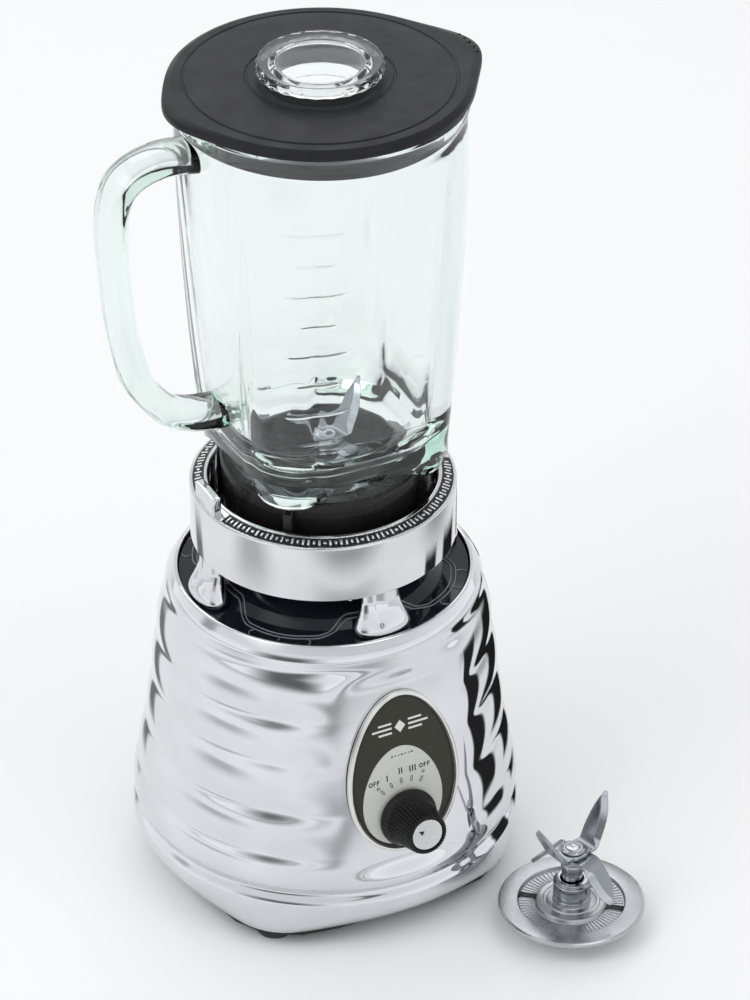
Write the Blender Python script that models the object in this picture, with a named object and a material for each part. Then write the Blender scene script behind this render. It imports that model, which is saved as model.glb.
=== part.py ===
"""Countertop blender with a ribbed bright housing, a rotary switch, a glass jar and a spare cutter.

Metres, +Z up. The drive axis is the Z axis, the control panel faces -Y, and z = 0 is the flat
underside of the bottom cover. The rubber feet reach FOOT_HEIGHT below it.
"""

import math

import bpy
from mathutils import Matrix, Vector

# ---- driving dimensions, metres ---------------------------------------------------------------
FIT = 0.0003                # gap between two fitted faces
SLIP = 0.0006               # gap round a piece that turns or lifts by hand

BELLY_RADIUS = 0.0872       # widest part of the housing
RIM_RADIUS = 0.0669         # bright rim at the top of the housing
RIM_TOP = 0.1465            # top of the rim
HEM_Z = 0.0028              # lower edge of the housing
HEM_HALF = 0.0705           # half width of the rounded-square hem
HEM_POWER = 3.9             # how square the hem is (2 is a circle)
BELLY_Z = 0.0220            # the housing tucks in below this height
WALL = 0.0018
BAND_DEPTH = 0.0016         # how far the grooves lie below the crests of the bands
BAND_EDGES = (0.184, 0.314, 0.457, 0.621, 0.764, 0.921)     # grooves, as parts of RIM_TOP
BODY_CURVE = ((0.0, 1.0), (0.1, 0.985), (0.2, 0.925), (0.3, 0.80), (0.4, 0.675), (0.5, 0.585),
              (0.6, 0.505), (0.7, 0.43), (0.8, 0.345), (0.9, 0.235), (0.96, 0.15), (1.0, 0.0))

PANEL_WIDTH = 0.053
PANEL_HEIGHT = 0.078
PANEL_Z = 0.082             # height of the middle of the panel
PANEL_SEAT = 0.0746         # distance of the flat seat from the drive axis, at PANEL_Z
PANEL_LEAN = math.radians(8.3)
PANEL_RIM = 0.0030
PANEL_THICK = 0.0020
KNOB_DROP = 0.0222          # knob axis below the middle of the panel, along the panel
KNOB_RADIUS = 0.0135
KNOB_FRONT = 0.00875
KNOB_LENGTH = 0.0195

PLATE_RADIUS = 0.0636       # black top plate inside the rim
PLATE_THICK = 0.0029
RING_RADIUS = 0.0580        # collar ring that holds the foot of the jar
RING_BORE = 0.0493
RING_Z = (0.1640, 0.1912)
LEDGE_BORE = 0.0438
LEDGE_TOP = 0.1697
LEG_BOLT = 0.0575           # the four leg screws stand on this radius

CAP_FOOT = 0.0420           # radius of the screwed bottom cap, lower and upper
CAP_HEAD = 0.0445
CAP_Z = (0.1640, 0.2050)
CAP_RIB = 0.0483
FLANGE_RADIUS = 0.0325      # cutter flange
FLANGE_TOP = 0.1849
SHAFT = 0.0035              # cutter shaft
HUB_RADIUS = 0.00835
BLADE_Z = 0.0241            # underside of the lower blade above the flange

JAR_FOOT_HALF = 0.0455      # half width of the jar at its foot, across the flats
JAR_MOUTH = 0.0605
JAR_TOP = 0.3820
NECK = 0.0343
NECK_BORE = 0.0293
JAR_WALL = 0.0047
SPOUT = 0.0062
HANDLE_REACH = 0.0960       # middle of the handle grip from the axis
LID_RADIUS = 0.0640
FEEDER_RADIUS = 0.0215

FOOT_HEIGHT = 0.0050
FOOT_PLACE = 0.0500         # feet stand at +- this in X and Y
COVER_THICK = 0.0025
COVER_BOLT = 0.0470
INLET_Z = 0.0365

SPARE_AT = (0.0695, -0.1050)
LONG_ARM = math.radians(12)     # direction of the long raised blade arm
LOW_ARM = math.radians(-66)     # direction of the lowered blade arm

SEG_HOUSING, SEG_JAR, SEG_BIG, SEG_MID, SEG_SMALL = 44, 36, 32, 16, 8
OFFSET = 0.21               # turns the points of a cutter off the planes of symmetry, each radius
TWIST = 37.0                # by its own angle, so that no edge of a cutter lies along another edge

METAL, PLASTIC, RUBBER, GLASS = "metal", "plastic", "rubber", "glass"


# ---- mesh helpers -----------------------------------------------------------------------------
def clear_scene():
    for obj in list(bpy.data.objects):
        bpy.data.objects.remove(obj, do_unlink=True)


def material(name, colour, kind, roughness):
    made = bpy.data.materials.new(name)
    made.use_nodes = True
    shader = made.node_tree.nodes["Principled BSDF"]
    shader.inputs["Base Color"].default_value = (*colour, 1.0)
    shader.inputs["Metallic"].default_value = 1.0 if kind == METAL else 0.0
    shader.inputs["Roughness"].default_value = roughness
    if kind == GLASS:
        shader.inputs["Transmission Weight"].default_value = 0.95
    return made


def loft(name, rows, look=None, loop=False, origin=(0.0, 0.0, 0.0)):
    """One closed body through rows of points. A row of one point is a pole."""
    origin = Vector(origin)
    points, starts, faces = [], [], []
    for row in rows:
        starts.append(len(points))
        points += [Vector(p) - origin for p in row]
    pairs = list(range(len(rows) - 1)) + ([len(rows) - 1] if loop else [])
    for low in pairs:
        high = (low + 1) % len(rows)
        count = max(len(rows[low]), len(rows[high]))
        for i in range(count):
            j = (i + 1) % count
            a = starts[low] + (i if len(rows[low]) > 1 else 0)
            b = starts[low] + (j if len(rows[low]) > 1 else 0)
            c = starts[high] + (j if len(rows[high]) > 1 else 0)
            d = starts[high] + (i if len(rows[high]) > 1 else 0)
            faces.append(tuple(dict.fromkeys((a, b, c, d))))
    if not loop:
        if len(rows[0]) > 1:
            faces.append(tuple(reversed(range(starts[0], starts[0] + len(rows[0])))))
        if len(rows[-1]) > 1:
            faces.append(tuple(range(starts[-1], starts[-1] + len(rows[-1]))))
    volume = 0.0
    for face in faces:
        for k in range(1, len(face) - 1):
            volume += points[face[0]].dot(points[face[k]].cross(points[face[k + 1]]))
    if volume < 0:
        faces = [tuple(reversed(face)) for face in faces]
    mesh = bpy.data.meshes.new(name)
    mesh.from_pydata([tuple(p) for p in points], [], faces)
    mesh.validate()
    obj = bpy.data.objects.new(name, mesh)
    obj.location = origin
    bpy.context.scene.collection.objects.link(obj)
    if look:
        mesh.materials.append(material(name, *look))
    return obj


def turn(profile, segments, to=None, change=None, start=0.0):
    """Rows of points of a profile of (radius, height), turned round Z and moved by the matrix `to`."""
    rows = []
    for index, (radius, height) in enumerate(profile):
        if radius <= 0.0:
            row = [Vector((0.0, 0.0, height))]
        else:
            row = []
            for i in range(segments):
                angle = start + 2 * math.pi * i / segments
                r, z = change(index, angle, radius, height) if change else (radius, height)
                row.append(Vector((r * math.cos(angle), r * math.sin(angle), z)))
        rows.append([to @ p for p in row] if to else row)
    return rows


def lathe(name, profile, segments, look=None, to=None, origin=(0, 0, 0), change=None):
    start = 0.0 if look else OFFSET + TWIST * max(r for r, _ in profile)
    rows = turn(profile, segments, to, change, start)
    return loft(name, rows, look, loop=len(rows[0]) > 1, origin=origin)


def rod(name, radius, z0, z1, segments, look=None, to=None, at=(0.0, 0.0), origin=None):
    place = Matrix.Translation((at[0], at[1], 0.0)) if to is None else to
    profile = ((0.0, z0), (radius, z0), (radius, z1), (0.0, z1))
    return lathe(name, profile, segments, look, place, origin or (at[0], at[1], 0.0))


def prism(name, outline, z0, z1, look=None, to=None, origin=(0, 0, 0)):
    rows = [[Vector((x, y, z)) for x, y in outline] for z in (z0, z1)]
    if to:
        rows = [[to @ p for p in row] for row in rows]
    return loft(name, rows, look, origin=origin)


def block(name, x0, x1, y0, y1, z0, z1, look=None, to=None):
    return prism(name, ((x0, y0), (x1, y0), (x1, y1), (x0, y1)), z0, z1, look, to)


def sweep_ring(name, half_y, half_z, middle, x0, x1, thick, corner, look):
    """A closed rectangular band round the X direction, with rounded corners."""
    rows = []
    for cy, cz, start in ((1, 1, 0), (-1, 1, 90), (-1, -1, 180), (1, -1, 270)):
        for step in (0, 45, 90):
            turn_by = math.radians(start + step)
            dy, dz = math.cos(turn_by), math.sin(turn_by)
            inner = (cy * (half_y - corner) + dy * (corner - thick),
                     middle + cz * (half_z - corner) + dz * (corner - thick))
            outer = (cy * (half_y - corner) + dy * corner, middle + cz * (half_z - corner) + dz * corner)
            rows.append([(x0, *inner), (x1, *inner), (x1, *outer), (x0, *outer)])
    return loft(name, rows, look, loop=True)


def boolean(obj, tool, operation):
    tool.hide_render = True
    tool.display_type = "WIRE"
    step = obj.modifiers.new(tool.name, "BOOLEAN")
    step.operation = operation
    step.solver = "EXACT"
    step.object = tool


def cut(obj, *tools):
    for tool in tools:
        boolean(obj, tool, "DIFFERENCE")


def merge(obj, *tools):
    for tool in tools:
        boolean(obj, tool, "UNION")


# ---- shape rules ------------------------------------------------------------------------------
def between(table, t):
    for (t0, f0), (t1, f1) in zip(table, table[1:]):
        if t <= t1:
            return f0 + (f1 - f0) * (t - t0) / (t1 - t0)
    return table[-1][1]


def smooth(low, high, value):
    t = min(1.0, max(0.0, (value - low) / (high - low)))
    return t * t * (3 - 2 * t)


def squared(angle, power):
    """Radius of a rounded square of half width 1."""
    return (abs(math.cos(angle)) ** power + abs(math.sin(angle)) ** power) ** (-1 / power)


def off_front(angle):
    """Angle away from -Y, 0 to pi."""
    return abs((angle + math.pi / 2 + math.pi) % (2 * math.pi) - math.pi)


def seat_distance(z):
    return PANEL_SEAT + (PANEL_Z - z) * math.tan(PANEL_LEAN)


def housing_radius(z, angle, banded=True):
    """Outer radius of the housing above the tuck, with its bands and the flat seat of the panel."""
    crest = RIM_RADIUS + (BELLY_RADIUS - RIM_RADIUS) * between(BODY_CURVE, (z - BELLY_Z + 0.007)
                                                              / (RIM_TOP - BELLY_Z + 0.007))
    part = 1.0
    for low, high in zip(BAND_EDGES, BAND_EDGES[1:] + (1.08,)):
        if low * RIM_TOP <= z <= high * RIM_TOP:
            part = abs((2 * z / RIM_TOP - low - high) / (high - low))
    if z < BAND_EDGES[0] * RIM_TOP:
        part = smooth(BELLY_Z - 0.004, BAND_EDGES[0] * RIM_TOP, z)
    radius = crest - BAND_DEPTH * (part * part if banded else 1.0)
    away = off_front(angle)
    reach = PANEL_HEIGHT / 2 + 0.003
    share = (1 - smooth(0.40, 0.72, away)) * (1 - smooth(reach, reach + 0.013, abs(z - PANEL_Z)))
    if share > 0:
        flat = min(seat_distance(z) / math.cos(away), crest + 0.0010)
        radius += share * (flat - radius)
    return radius


def tuck(angle, share, radius):
    """(radius, height) on the curve from the belly down to the squared hem."""
    end = math.radians(66)
    hem = HEM_HALF * squared(angle, HEM_POWER)
    r = radius - (radius - hem) * (1 - math.cos(share * end)) / (1 - math.cos(end))
    return r, BELLY_Z - (BELLY_Z - HEM_Z) * math.sin(share * end) / math.sin(end)


def panel_frame(drop=0.0):
    """X right, Y up along the panel, Z out of it. The origin is on the seat, `drop` below the middle."""
    up = Vector((0.0, math.sin(PANEL_LEAN), math.cos(PANEL_LEAN)))
    out = Vector((0.0, -math.cos(PANEL_LEAN), math.sin(PANEL_LEAN)))
    place = Matrix(((1, 0, 0, 0), (0, up.y, out.y, 0), (0, up.z, out.z, 0), (0, 0, 0, 1)))
    at = Vector((0.0, -PANEL_SEAT, PANEL_Z)) - up * drop
    return Matrix.Translation(at) @ place


def egg(inset, count=32):
    """Outline of the panel, wider below, moved in by `inset`."""
    points = []
    for i in range(count):
        t = 2 * math.pi * i / count
        width = (PANEL_WIDTH / 2 - inset) * math.sin(t) * (1 - 0.13 * math.cos(t))
        points.append((width, (PANEL_HEIGHT / 2 - inset) * math.cos(t)))
    return points


# ---- housing and top --------------------------------------------------------------------------
def make_housing():
    angles = [2 * math.pi * i / SEG_HOUSING for i in range(SEG_HOUSING)]

    def row(maker):
        return [(r * math.cos(a), r * math.sin(a), z) for a in angles for r, z in [maker(a)]]

    heights = []
    for low, high in zip(BAND_EDGES, BAND_EDGES[1:]):
        heights += [(low + (high - low) * part) * RIM_TOP for part in (0.0, 0.3, 0.7)]
    heights.append(BAND_EDGES[-1] * RIM_TOP)
    rows = [row(lambda a, s=s: tuck(a, s, housing_radius(BELLY_Z, a))) for s in (1.0, 0.72, 0.4, 0.0)]
    rows += [row(lambda a, z=z: (housing_radius(z, a), z)) for z in heights]
    lip = PLATE_RADIUS + 0.0004
    top = RIM_TOP
    seat = top - 0.0050
    for r, z in ((RIM_RADIUS + 0.0016, top - 0.0070), (RIM_RADIUS + 0.0004, top - 0.0024),
                 (RIM_RADIUS - 0.0010, top - 0.0003), (lip + 0.0006, top), (lip, top - 0.0008),
                 (lip, seat), (LEG_BOLT - 0.0045, seat), (LEG_BOLT - 0.0045, seat - WALL)):
        rows.append(row(lambda a, r=r, z=z: (r, z)))
    inner = [BAND_EDGES[-1] * RIM_TOP] + [part * RIM_TOP for part in (0.70, 0.46, 0.22)]
    rows.append(row(lambda a: (housing_radius(inner[0], a, False) - WALL, seat - WALL)))
    rows += [row(lambda a, z=z: (housing_radius(z, a, False) - WALL, z)) for z in inner]
    for share in (0.25, 0.62):
        rows.append(row(lambda a, s=share: tuple(
            v + d for v, d in zip(tuck(a, s, housing_radius(BELLY_Z, a, False)), (-0.0014, 0.0015)))))
    rows.append(row(lambda a: (tuck(a, 1.0, BELLY_RADIUS)[0] - WALL, HEM_Z)))
    housing = loft("housing", rows, ((0.82, 0.84, 0.86), METAL, 0.08), loop=True)
    cut(housing, rod("cut_switch_hole", 0.0080, -0.020, 0.012, SEG_MID, to=panel_frame(KNOB_DROP)),
        rod("cut_inlet_hole", 0.0058, 0.060, 0.100, SEG_MID, to=inlet_frame()))
    for i, angle in enumerate(quarter_turns()):
        at = (LEG_BOLT * math.cos(angle), LEG_BOLT * math.sin(angle))
        cut(housing, rod("cut_lip_hole_%d" % i, 0.0023, seat - 0.006, seat + 0.003, SEG_SMALL, at=at))


def quarter_turns():
    return [math.pi / 2 * i for i in range(4)]


def inlet_frame():
    """Z runs out of the back of the housing, low down."""
    return Matrix.Translation((0, 0, INLET_Z)) @ Matrix.Rotation(-math.pi / 2, 4, "X")


def make_inlet():
    face = housing_radius(INLET_Z, math.pi / 2) + 0.0006
    profile = ((0.0045, face - 0.0086), (0.0072, face - 0.0086), (0.0054, face - 0.0064),
               (0.0054, face), (0.0080, face), (0.0074, face + 0.0024), (0.0045, face + 0.0028))
    lathe("cord_inlet", profile, SEG_MID, ((0.02, 0.02, 0.02), RUBBER, 0.6), inlet_frame(),
          origin=(0, face, INLET_Z))


def make_top_plate():
    seat = RIM_TOP - 0.0050 + FIT
    rim = RIM_TOP - 0.0018
    step = 0.0500
    profile = ((PLATE_RADIUS, seat), (PLATE_RADIUS, rim), (step, rim), (step - 0.0025, rim + 0.0040),
               (0.0330, rim + 0.0095), (0.0200, rim + 0.0160), (0.0047, rim + 0.0163),
               (0.0047, rim + 0.0134), (0.0190, rim + 0.0130), (0.0325, rim + 0.0065),
               (step - 0.0045, rim + 0.0010), (step - 0.0030, seat))
    plate = lathe("top_plate", profile, SEG_BIG, ((0.012, 0.014, 0.016), PLASTIC, 0.12))
    for i, angle in enumerate(quarter_turns()):
        at = (LEG_BOLT * math.cos(angle), LEG_BOLT * math.sin(angle))
        cut(plate, rod("cut_plate_hole_%d" % i, 0.0023, seat - 0.002, rim + 0.002, SEG_SMALL, at=at))


def leg_rows(angle):
    foot = RIM_TOP - 0.0018 + FIT
    top = RING_Z[0] + 0.0030
    rows = []
    for height, middle, deep, wide in (
            (foot, 0.0572, 0.0056, 0.0105), (foot + 0.0020, 0.0572, 0.0066, 0.0120),
            (foot + 0.0055, 0.0567, 0.0062, 0.0117), (foot + 0.0105, 0.0551, 0.0046, 0.0104),
            (foot + 0.0145, 0.0540, 0.0040, 0.0098), (top, 0.0537, 0.0038, 0.0096)):
        row = []
        for i in range(12):
            t = 2 * math.pi * (i + 0.5) / 12
            r = squared(t, 3.0)
            spot = Vector((middle + deep * r * math.cos(t), wide * r * math.sin(t), height))
            row.append(Matrix.Rotation(angle, 4, "Z") @ spot)
        rows.append(row)
    return rows


def make_collar():
    low, high = RING_Z
    profile = ((RING_RADIUS - 0.0006, low), (RING_RADIUS, low + 0.0006), (RING_RADIUS, high - 0.0006),
               (RING_RADIUS - 0.0006, high), (RING_BORE + 0.0010, high + 0.0021),
               (RING_BORE, high + 0.0014), (RING_BORE, LEDGE_TOP), (LEDGE_BORE, LEDGE_TOP),
               (LEDGE_BORE, LEDGE_TOP - 0.0026), (RING_BORE - 0.0010, low + 0.0006),
               (RING_BORE - 0.0002, low))
    ring = lathe("collar_ring", profile, SEG_BIG, ((0.80, 0.82, 0.84), METAL, 0.10))
    for i, angle in enumerate(quarter_turns()):
        merge(ring, loft("add_leg_%d" % i, leg_rows(angle)))
    inner, outer = RING_BORE + 0.0016, RING_RADIUS - 0.0010
    for i, y in enumerate((-0.0058, 0.0058)):
        merge(ring, block("add_prong_%d" % i, inner, outer, y - 0.0026, y + 0.0026, high - 0.004, high + 0.0092))
    merge(ring, block("add_bar", -outer, -inner - 0.0018, -0.0090, 0.0090, high - 0.004, high + 0.0086))
    for i, angle in enumerate(quarter_turns()):
        at = (LEG_BOLT * math.cos(angle), LEG_BOLT * math.sin(angle))
        cut(ring, rod("cut_leg_hole_%d" % i, 0.0023, RIM_TOP - 0.004, RIM_TOP + 0.0070, SEG_SMALL, at=at))


def make_collar_screws():
    for letter, angle in zip("abcd", quarter_turns()):
        place = Matrix.Translation((LEG_BOLT * math.cos(angle), LEG_BOLT * math.sin(angle), 0))
        low = 0.1180 - FIT
        profile = ((0, low - 0.0030), (0.0030, low - 0.0030), (0.0036, low - 0.0024), (0.0036, low),
                   (0.0020, low), (0.0020, RIM_TOP + 0.0064), (0, RIM_TOP + 0.0064))
        lathe("collar_screw_" + letter, profile, SEG_SMALL, ((0.6, 0.6, 0.62), METAL, 0.3), place,
              origin=place.translation)


# ---- control panel ----------------------------------------------------------------------------
def make_panel():
    place = panel_frame()
    rows = []
    for inset, height in ((0.0, FIT), (0.0, PANEL_THICK), (0.0008, PANEL_THICK + 0.0008),
                          (PANEL_RIM - 0.0006, PANEL_THICK + 0.0008), (PANEL_RIM, PANEL_THICK + 0.0002),
                          (PANEL_RIM, FIT)):
        rows.append([place @ Vector((x, y, height)) for x, y in egg(inset)])
    loft("panel_rim", rows, ((0.72, 0.72, 0.68), METAL, 0.25), loop=True, origin=place.translation)
    face = prism("panel_face", egg(PANEL_RIM + FIT), FIT, PANEL_THICK - 0.0002,
                 ((0.05, 0.048, 0.035), PLASTIC, 0.35), place, place.translation)
    cut(face, rod("cut_panel_hole", 0.0049, -0.002, 0.006, SEG_MID, to=panel_frame(KNOB_DROP)))


def make_switch():
    place = panel_frame(KNOB_DROP)
    at = place.translation
    body = block("switch_body", -0.0120, 0.0120, -0.0150, 0.0150, -0.0260, -0.0045,
                 ((0.03, 0.03, 0.03), PLASTIC, 0.4), place)
    merge(body, rod("add_switch_bush", 0.0045, -0.0060, 0.0054, SEG_MID, to=place))
    cut(body, rod("cut_switch_bore", 0.0030 + FIT, -0.0160, 0.0100, SEG_MID, to=place))
    profile = ((0.0055 + FIT, PANEL_THICK), (0.0078, PANEL_THICK), (0.0078, PANEL_THICK + 0.0022),
               (0.0055 + FIT, PANEL_THICK + 0.0022))
    lathe("switch_nut", profile, 6, ((0.6, 0.6, 0.6), METAL, 0.3), place, at)
    rod("switch_shaft", 0.0030, -0.0155, 0.0150, SEG_MID, ((0.6, 0.6, 0.6), METAL, 0.3), place, origin=at)
    base = PANEL_THICK + 0.0010
    end = base + KNOB_LENGTH
    profile = ((0.0030 + FIT, base + 0.0040), (0.0088, base + 0.0040), (0.0088, base),
               (KNOB_RADIUS, base), (KNOB_RADIUS, base + 0.0016), (KNOB_RADIUS - 0.0018, base + 0.0040),
               (KNOB_FRONT + 0.0006, end - 0.0010), (KNOB_FRONT - 0.0002, end),
               (KNOB_FRONT - 0.0010, end), (KNOB_FRONT - 0.0012, end - 0.0012),
               (0.0030 + FIT, end - 0.0012))

    def ribs(index, angle, r, z):
        return (r - 0.0005 if index in (5, 6) and round(angle * 32 / (2 * math.pi)) % 2 else r), z

    lathe("knob", profile, 32, ((0.012, 0.012, 0.012), PLASTIC, 0.35), place, at, change=ribs)
    rod("knob_insert", KNOB_FRONT - 0.0012 - FIT, end - 0.0009, end - 0.0001, SEG_MID,
        ((0.75, 0.77, 0.74), METAL, 0.25), place, origin=at)


# ---- bottom cover and feet --------------------------------------------------------------------
def make_bottom():
    def square(index, angle, r, z):
        return HEM_HALF * squared(angle, HEM_POWER) - r, z

    # Each radius here is the distance in from the hem; the floor closes on the axis.
    floor = 0.0140
    rows = turn(((0.0012, 0.0), (0.0006, 0.0006), (0.0006, COVER_THICK), (0.0034, COVER_THICK),
                 (0.0034, 0.0068), (0.0054, 0.0068), (0.0054, COVER_THICK), (floor, COVER_THICK)),
                SEG_BIG, change=square)
    rows = [[Vector((0, 0, 0))]] + rows + [[Vector((0, 0, COVER_THICK))]]
    cover = loft("bottom_cover", rows, ((0.02, 0.02, 0.02), PLASTIC, 0.45))
    bracket = 0.0260 - FIT
    looks = ((0.6, 0.6, 0.6), METAL, 0.3)
    for i, (letter, angle) in enumerate(zip("abcd", quarter_turns())):
        at = (COVER_BOLT * math.cos(angle), COVER_BOLT * math.sin(angle))
        merge(cover, rod("add_boss_%d" % i, 0.0050, 0.0012, bracket, SEG_SMALL, at=at))
        cut(cover, rod("cut_boss_%d" % i, 0.0023, -0.001, bracket + 0.001, SEG_SMALL, at=at),
            rod("cut_head_%d" % i, 0.0042, -0.001, 0.0033, SEG_SMALL, at=at))
        place = Matrix.Translation((at[0], at[1], 0))
        profile = ((0, 0.0005), (0.0030, 0.0005), (0.0036, 0.0012), (0.0036, 0.0030), (0.0020, 0.0030),
                   (0.0020, 0.0300), (0, 0.0300))
        lathe("cover_screw_" + letter, profile, SEG_SMALL, looks, place, origin=place.translation)
    for i, angle in enumerate(a + math.pi / 4 for a in quarter_turns()):
        cut(cover, block("cut_slot_%d" % i, 0.0300, 0.0340, -0.0130, 0.0130, -0.001, 0.004,
                         to=Matrix.Rotation(angle, 4, "Z")))
    profile = ((0, -FOOT_HEIGHT), (0.0080, -FOOT_HEIGHT), (0.0092, -FOOT_HEIGHT + 0.0010), (0.0092, -FIT),
               (0.0027, -FIT), (0.0027, COVER_THICK + 0.0003), (0.0036, COVER_THICK + 0.0010),
               (0.0020, COVER_THICK + 0.0024), (0, COVER_THICK + 0.0024))
    spots = ((-1, -1), (1, -1), (1, 1), (-1, 1))
    for i, (letter, (sx, sy)) in enumerate(zip("abcd", spots)):
        at = (sx * FOOT_PLACE, sy * FOOT_PLACE)
        cut(cover, rod("cut_foot_%d" % i, 0.0032, -0.001, 0.004, SEG_SMALL, at=at))
        place = Matrix.Translation((at[0], at[1], 0))
        lathe("foot_" + letter, profile, 12, ((0.02, 0.02, 0.02), RUBBER, 0.8), place,
              origin=place.translation)


# ---- motor ------------------------------------------------------------------------------------
def make_motor():
    cast = ((0.5, 0.5, 0.52), METAL, 0.45)
    low_bar, high_bar = (0.0260, 0.0310), (0.1180, 0.1240)
    for name, profile, bar in (
            ("lower_bracket", ((0.0048, 0.0222), (0.0150, 0.0222), (0.0150, 0.0350), (0.0093, 0.0350),
                               (0.0093, 0.0255), (0.0048, 0.0255)), low_bar),
            ("upper_bracket", ((0.0048, 0.1290), (0.0048, 0.1260), (0.0093, 0.1260), (0.0093, 0.1150),
                               (0.0150, 0.1150), (0.0150, 0.1290)), high_bar)):
        bracket = lathe(name, profile, SEG_MID, cast)
        reach = 0.0520 if name == "lower_bracket" else LEG_BOLT + 0.0020
        for i, angle in enumerate(quarter_turns()):
            merge(bracket, block("add_%s_arm_%d" % (name, i), 0.0120, reach, -0.0065, 0.0065, *bar,
                                 to=Matrix.Rotation(angle, 4, "Z")))
        cut(bracket, *[rod("cut_%s_bolt_%d" % (name, i), 0.0023, 0.010, 0.1225, SEG_SMALL, at=(0, y))
                       for i, y in enumerate((-0.036, 0.036))])
    for i, angle in enumerate(quarter_turns()):
        at = (COVER_BOLT * math.cos(angle), COVER_BOLT * math.sin(angle))
        cut(bpy.data.objects["lower_bracket"], rod("cut_low_%d" % i, 0.0023, 0.020, 0.040, SEG_SMALL, at=at))
        at = (LEG_BOLT * math.cos(angle), LEG_BOLT * math.sin(angle))
        top = RIM_TOP - 0.0050 - WALL - FIT
        merge(bpy.data.objects["upper_bracket"], rod("add_post_%d" % i, 0.0060, 0.1195, top, SEG_SMALL, at=at))
        cut(bpy.data.objects["upper_bracket"], rod("cut_post_%d" % i, 0.0023, 0.110, 0.150, SEG_SMALL, at=at))
    steel = ((0.45, 0.45, 0.47), METAL, 0.3)
    for name, z0 in (("lower_bearing", 0.0258), ("upper_bearing", 0.1177)):
        lathe(name, ((0.0042, z0), (0.0090, z0), (0.0090, z0 + 0.0080), (0.0042, z0 + 0.0080)), SEG_MID, steel)
    outline = [(0.046 * sx * 1.0, 0.040 * sy) for sx, sy in ((-1, -0.8), (-0.8, -1), (0.8, -1), (1, -0.8),
                                                           (1, 0.8), (0.8, 1), (-0.8, 1), (-1, 0.8))]
    stator = prism("stator", outline, 0.0620, 0.0900, ((0.25, 0.25, 0.27), METAL, 0.5))
    cut(stator, rod("cut_bore", 0.0246, 0.060, 0.092, SEG_BIG, at=(0, 0)))
    cut(stator, *[rod("cut_stator_bolt_%d" % i, 0.0023, 0.060, 0.092, SEG_SMALL, at=(0, y))
                  for i, y in enumerate((-0.036, 0.036))])
    for side, letter in ((1, "a"), (-1, "b")):
        x0, x1 = sorted((side * 0.0290, side * 0.0360))
        sweep_ring("field_coil_" + letter, 0.0330, 0.0240, 0.0760, x0, x1, 0.0080, 0.0100,
                   ((0.55, 0.20, 0.06), METAL, 0.4))
        for j, y in enumerate((-1, 1)):
            y0, y1 = sorted((y * 0.0247, y * 0.0333))
            cut(stator, block("cut_coil_%s_%d" % (letter, j), x0 - FIT, x1 + FIT, y0, y1, 0.060, 0.092))
    for y, letter in ((-0.036, "a"), (0.036, "b")):
        place = Matrix.Translation((0, y, 0))
        profile = ((0, 0.0222), (0.0036, 0.0222), (0.0036, 0.0257), (0.0020, 0.0257), (0.0020, 0.1220),
                   (0, 0.1220))
        lathe("motor_bolt_" + letter, profile, SEG_SMALL, steel, place, origin=(0, y, 0))
    make_brushes()
    make_rotor(steel)


def make_brushes():
    for side, letter in ((1, "a"), (-1, "b")):
        x0, x1 = sorted((side * 0.0160, side * 0.0360))
        holder = block("brush_holder_" + letter, x0, x1, -0.0050, 0.0050, 0.0310 + FIT, 0.0500,
                       ((0.5, 0.35, 0.12), METAL, 0.35))
        cut(holder, block("cut_holder_" + letter, x0 - 0.002, x1 + 0.002, -0.0031, 0.0031, 0.0409, 0.0471))
        x0, x1 = sorted((side * 0.0123, side * 0.0270))
        block("brush_" + letter, x0, x1, -0.0028, 0.0028, 0.0412, 0.0468, ((0.03, 0.03, 0.03), PLASTIC, 0.7))


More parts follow.
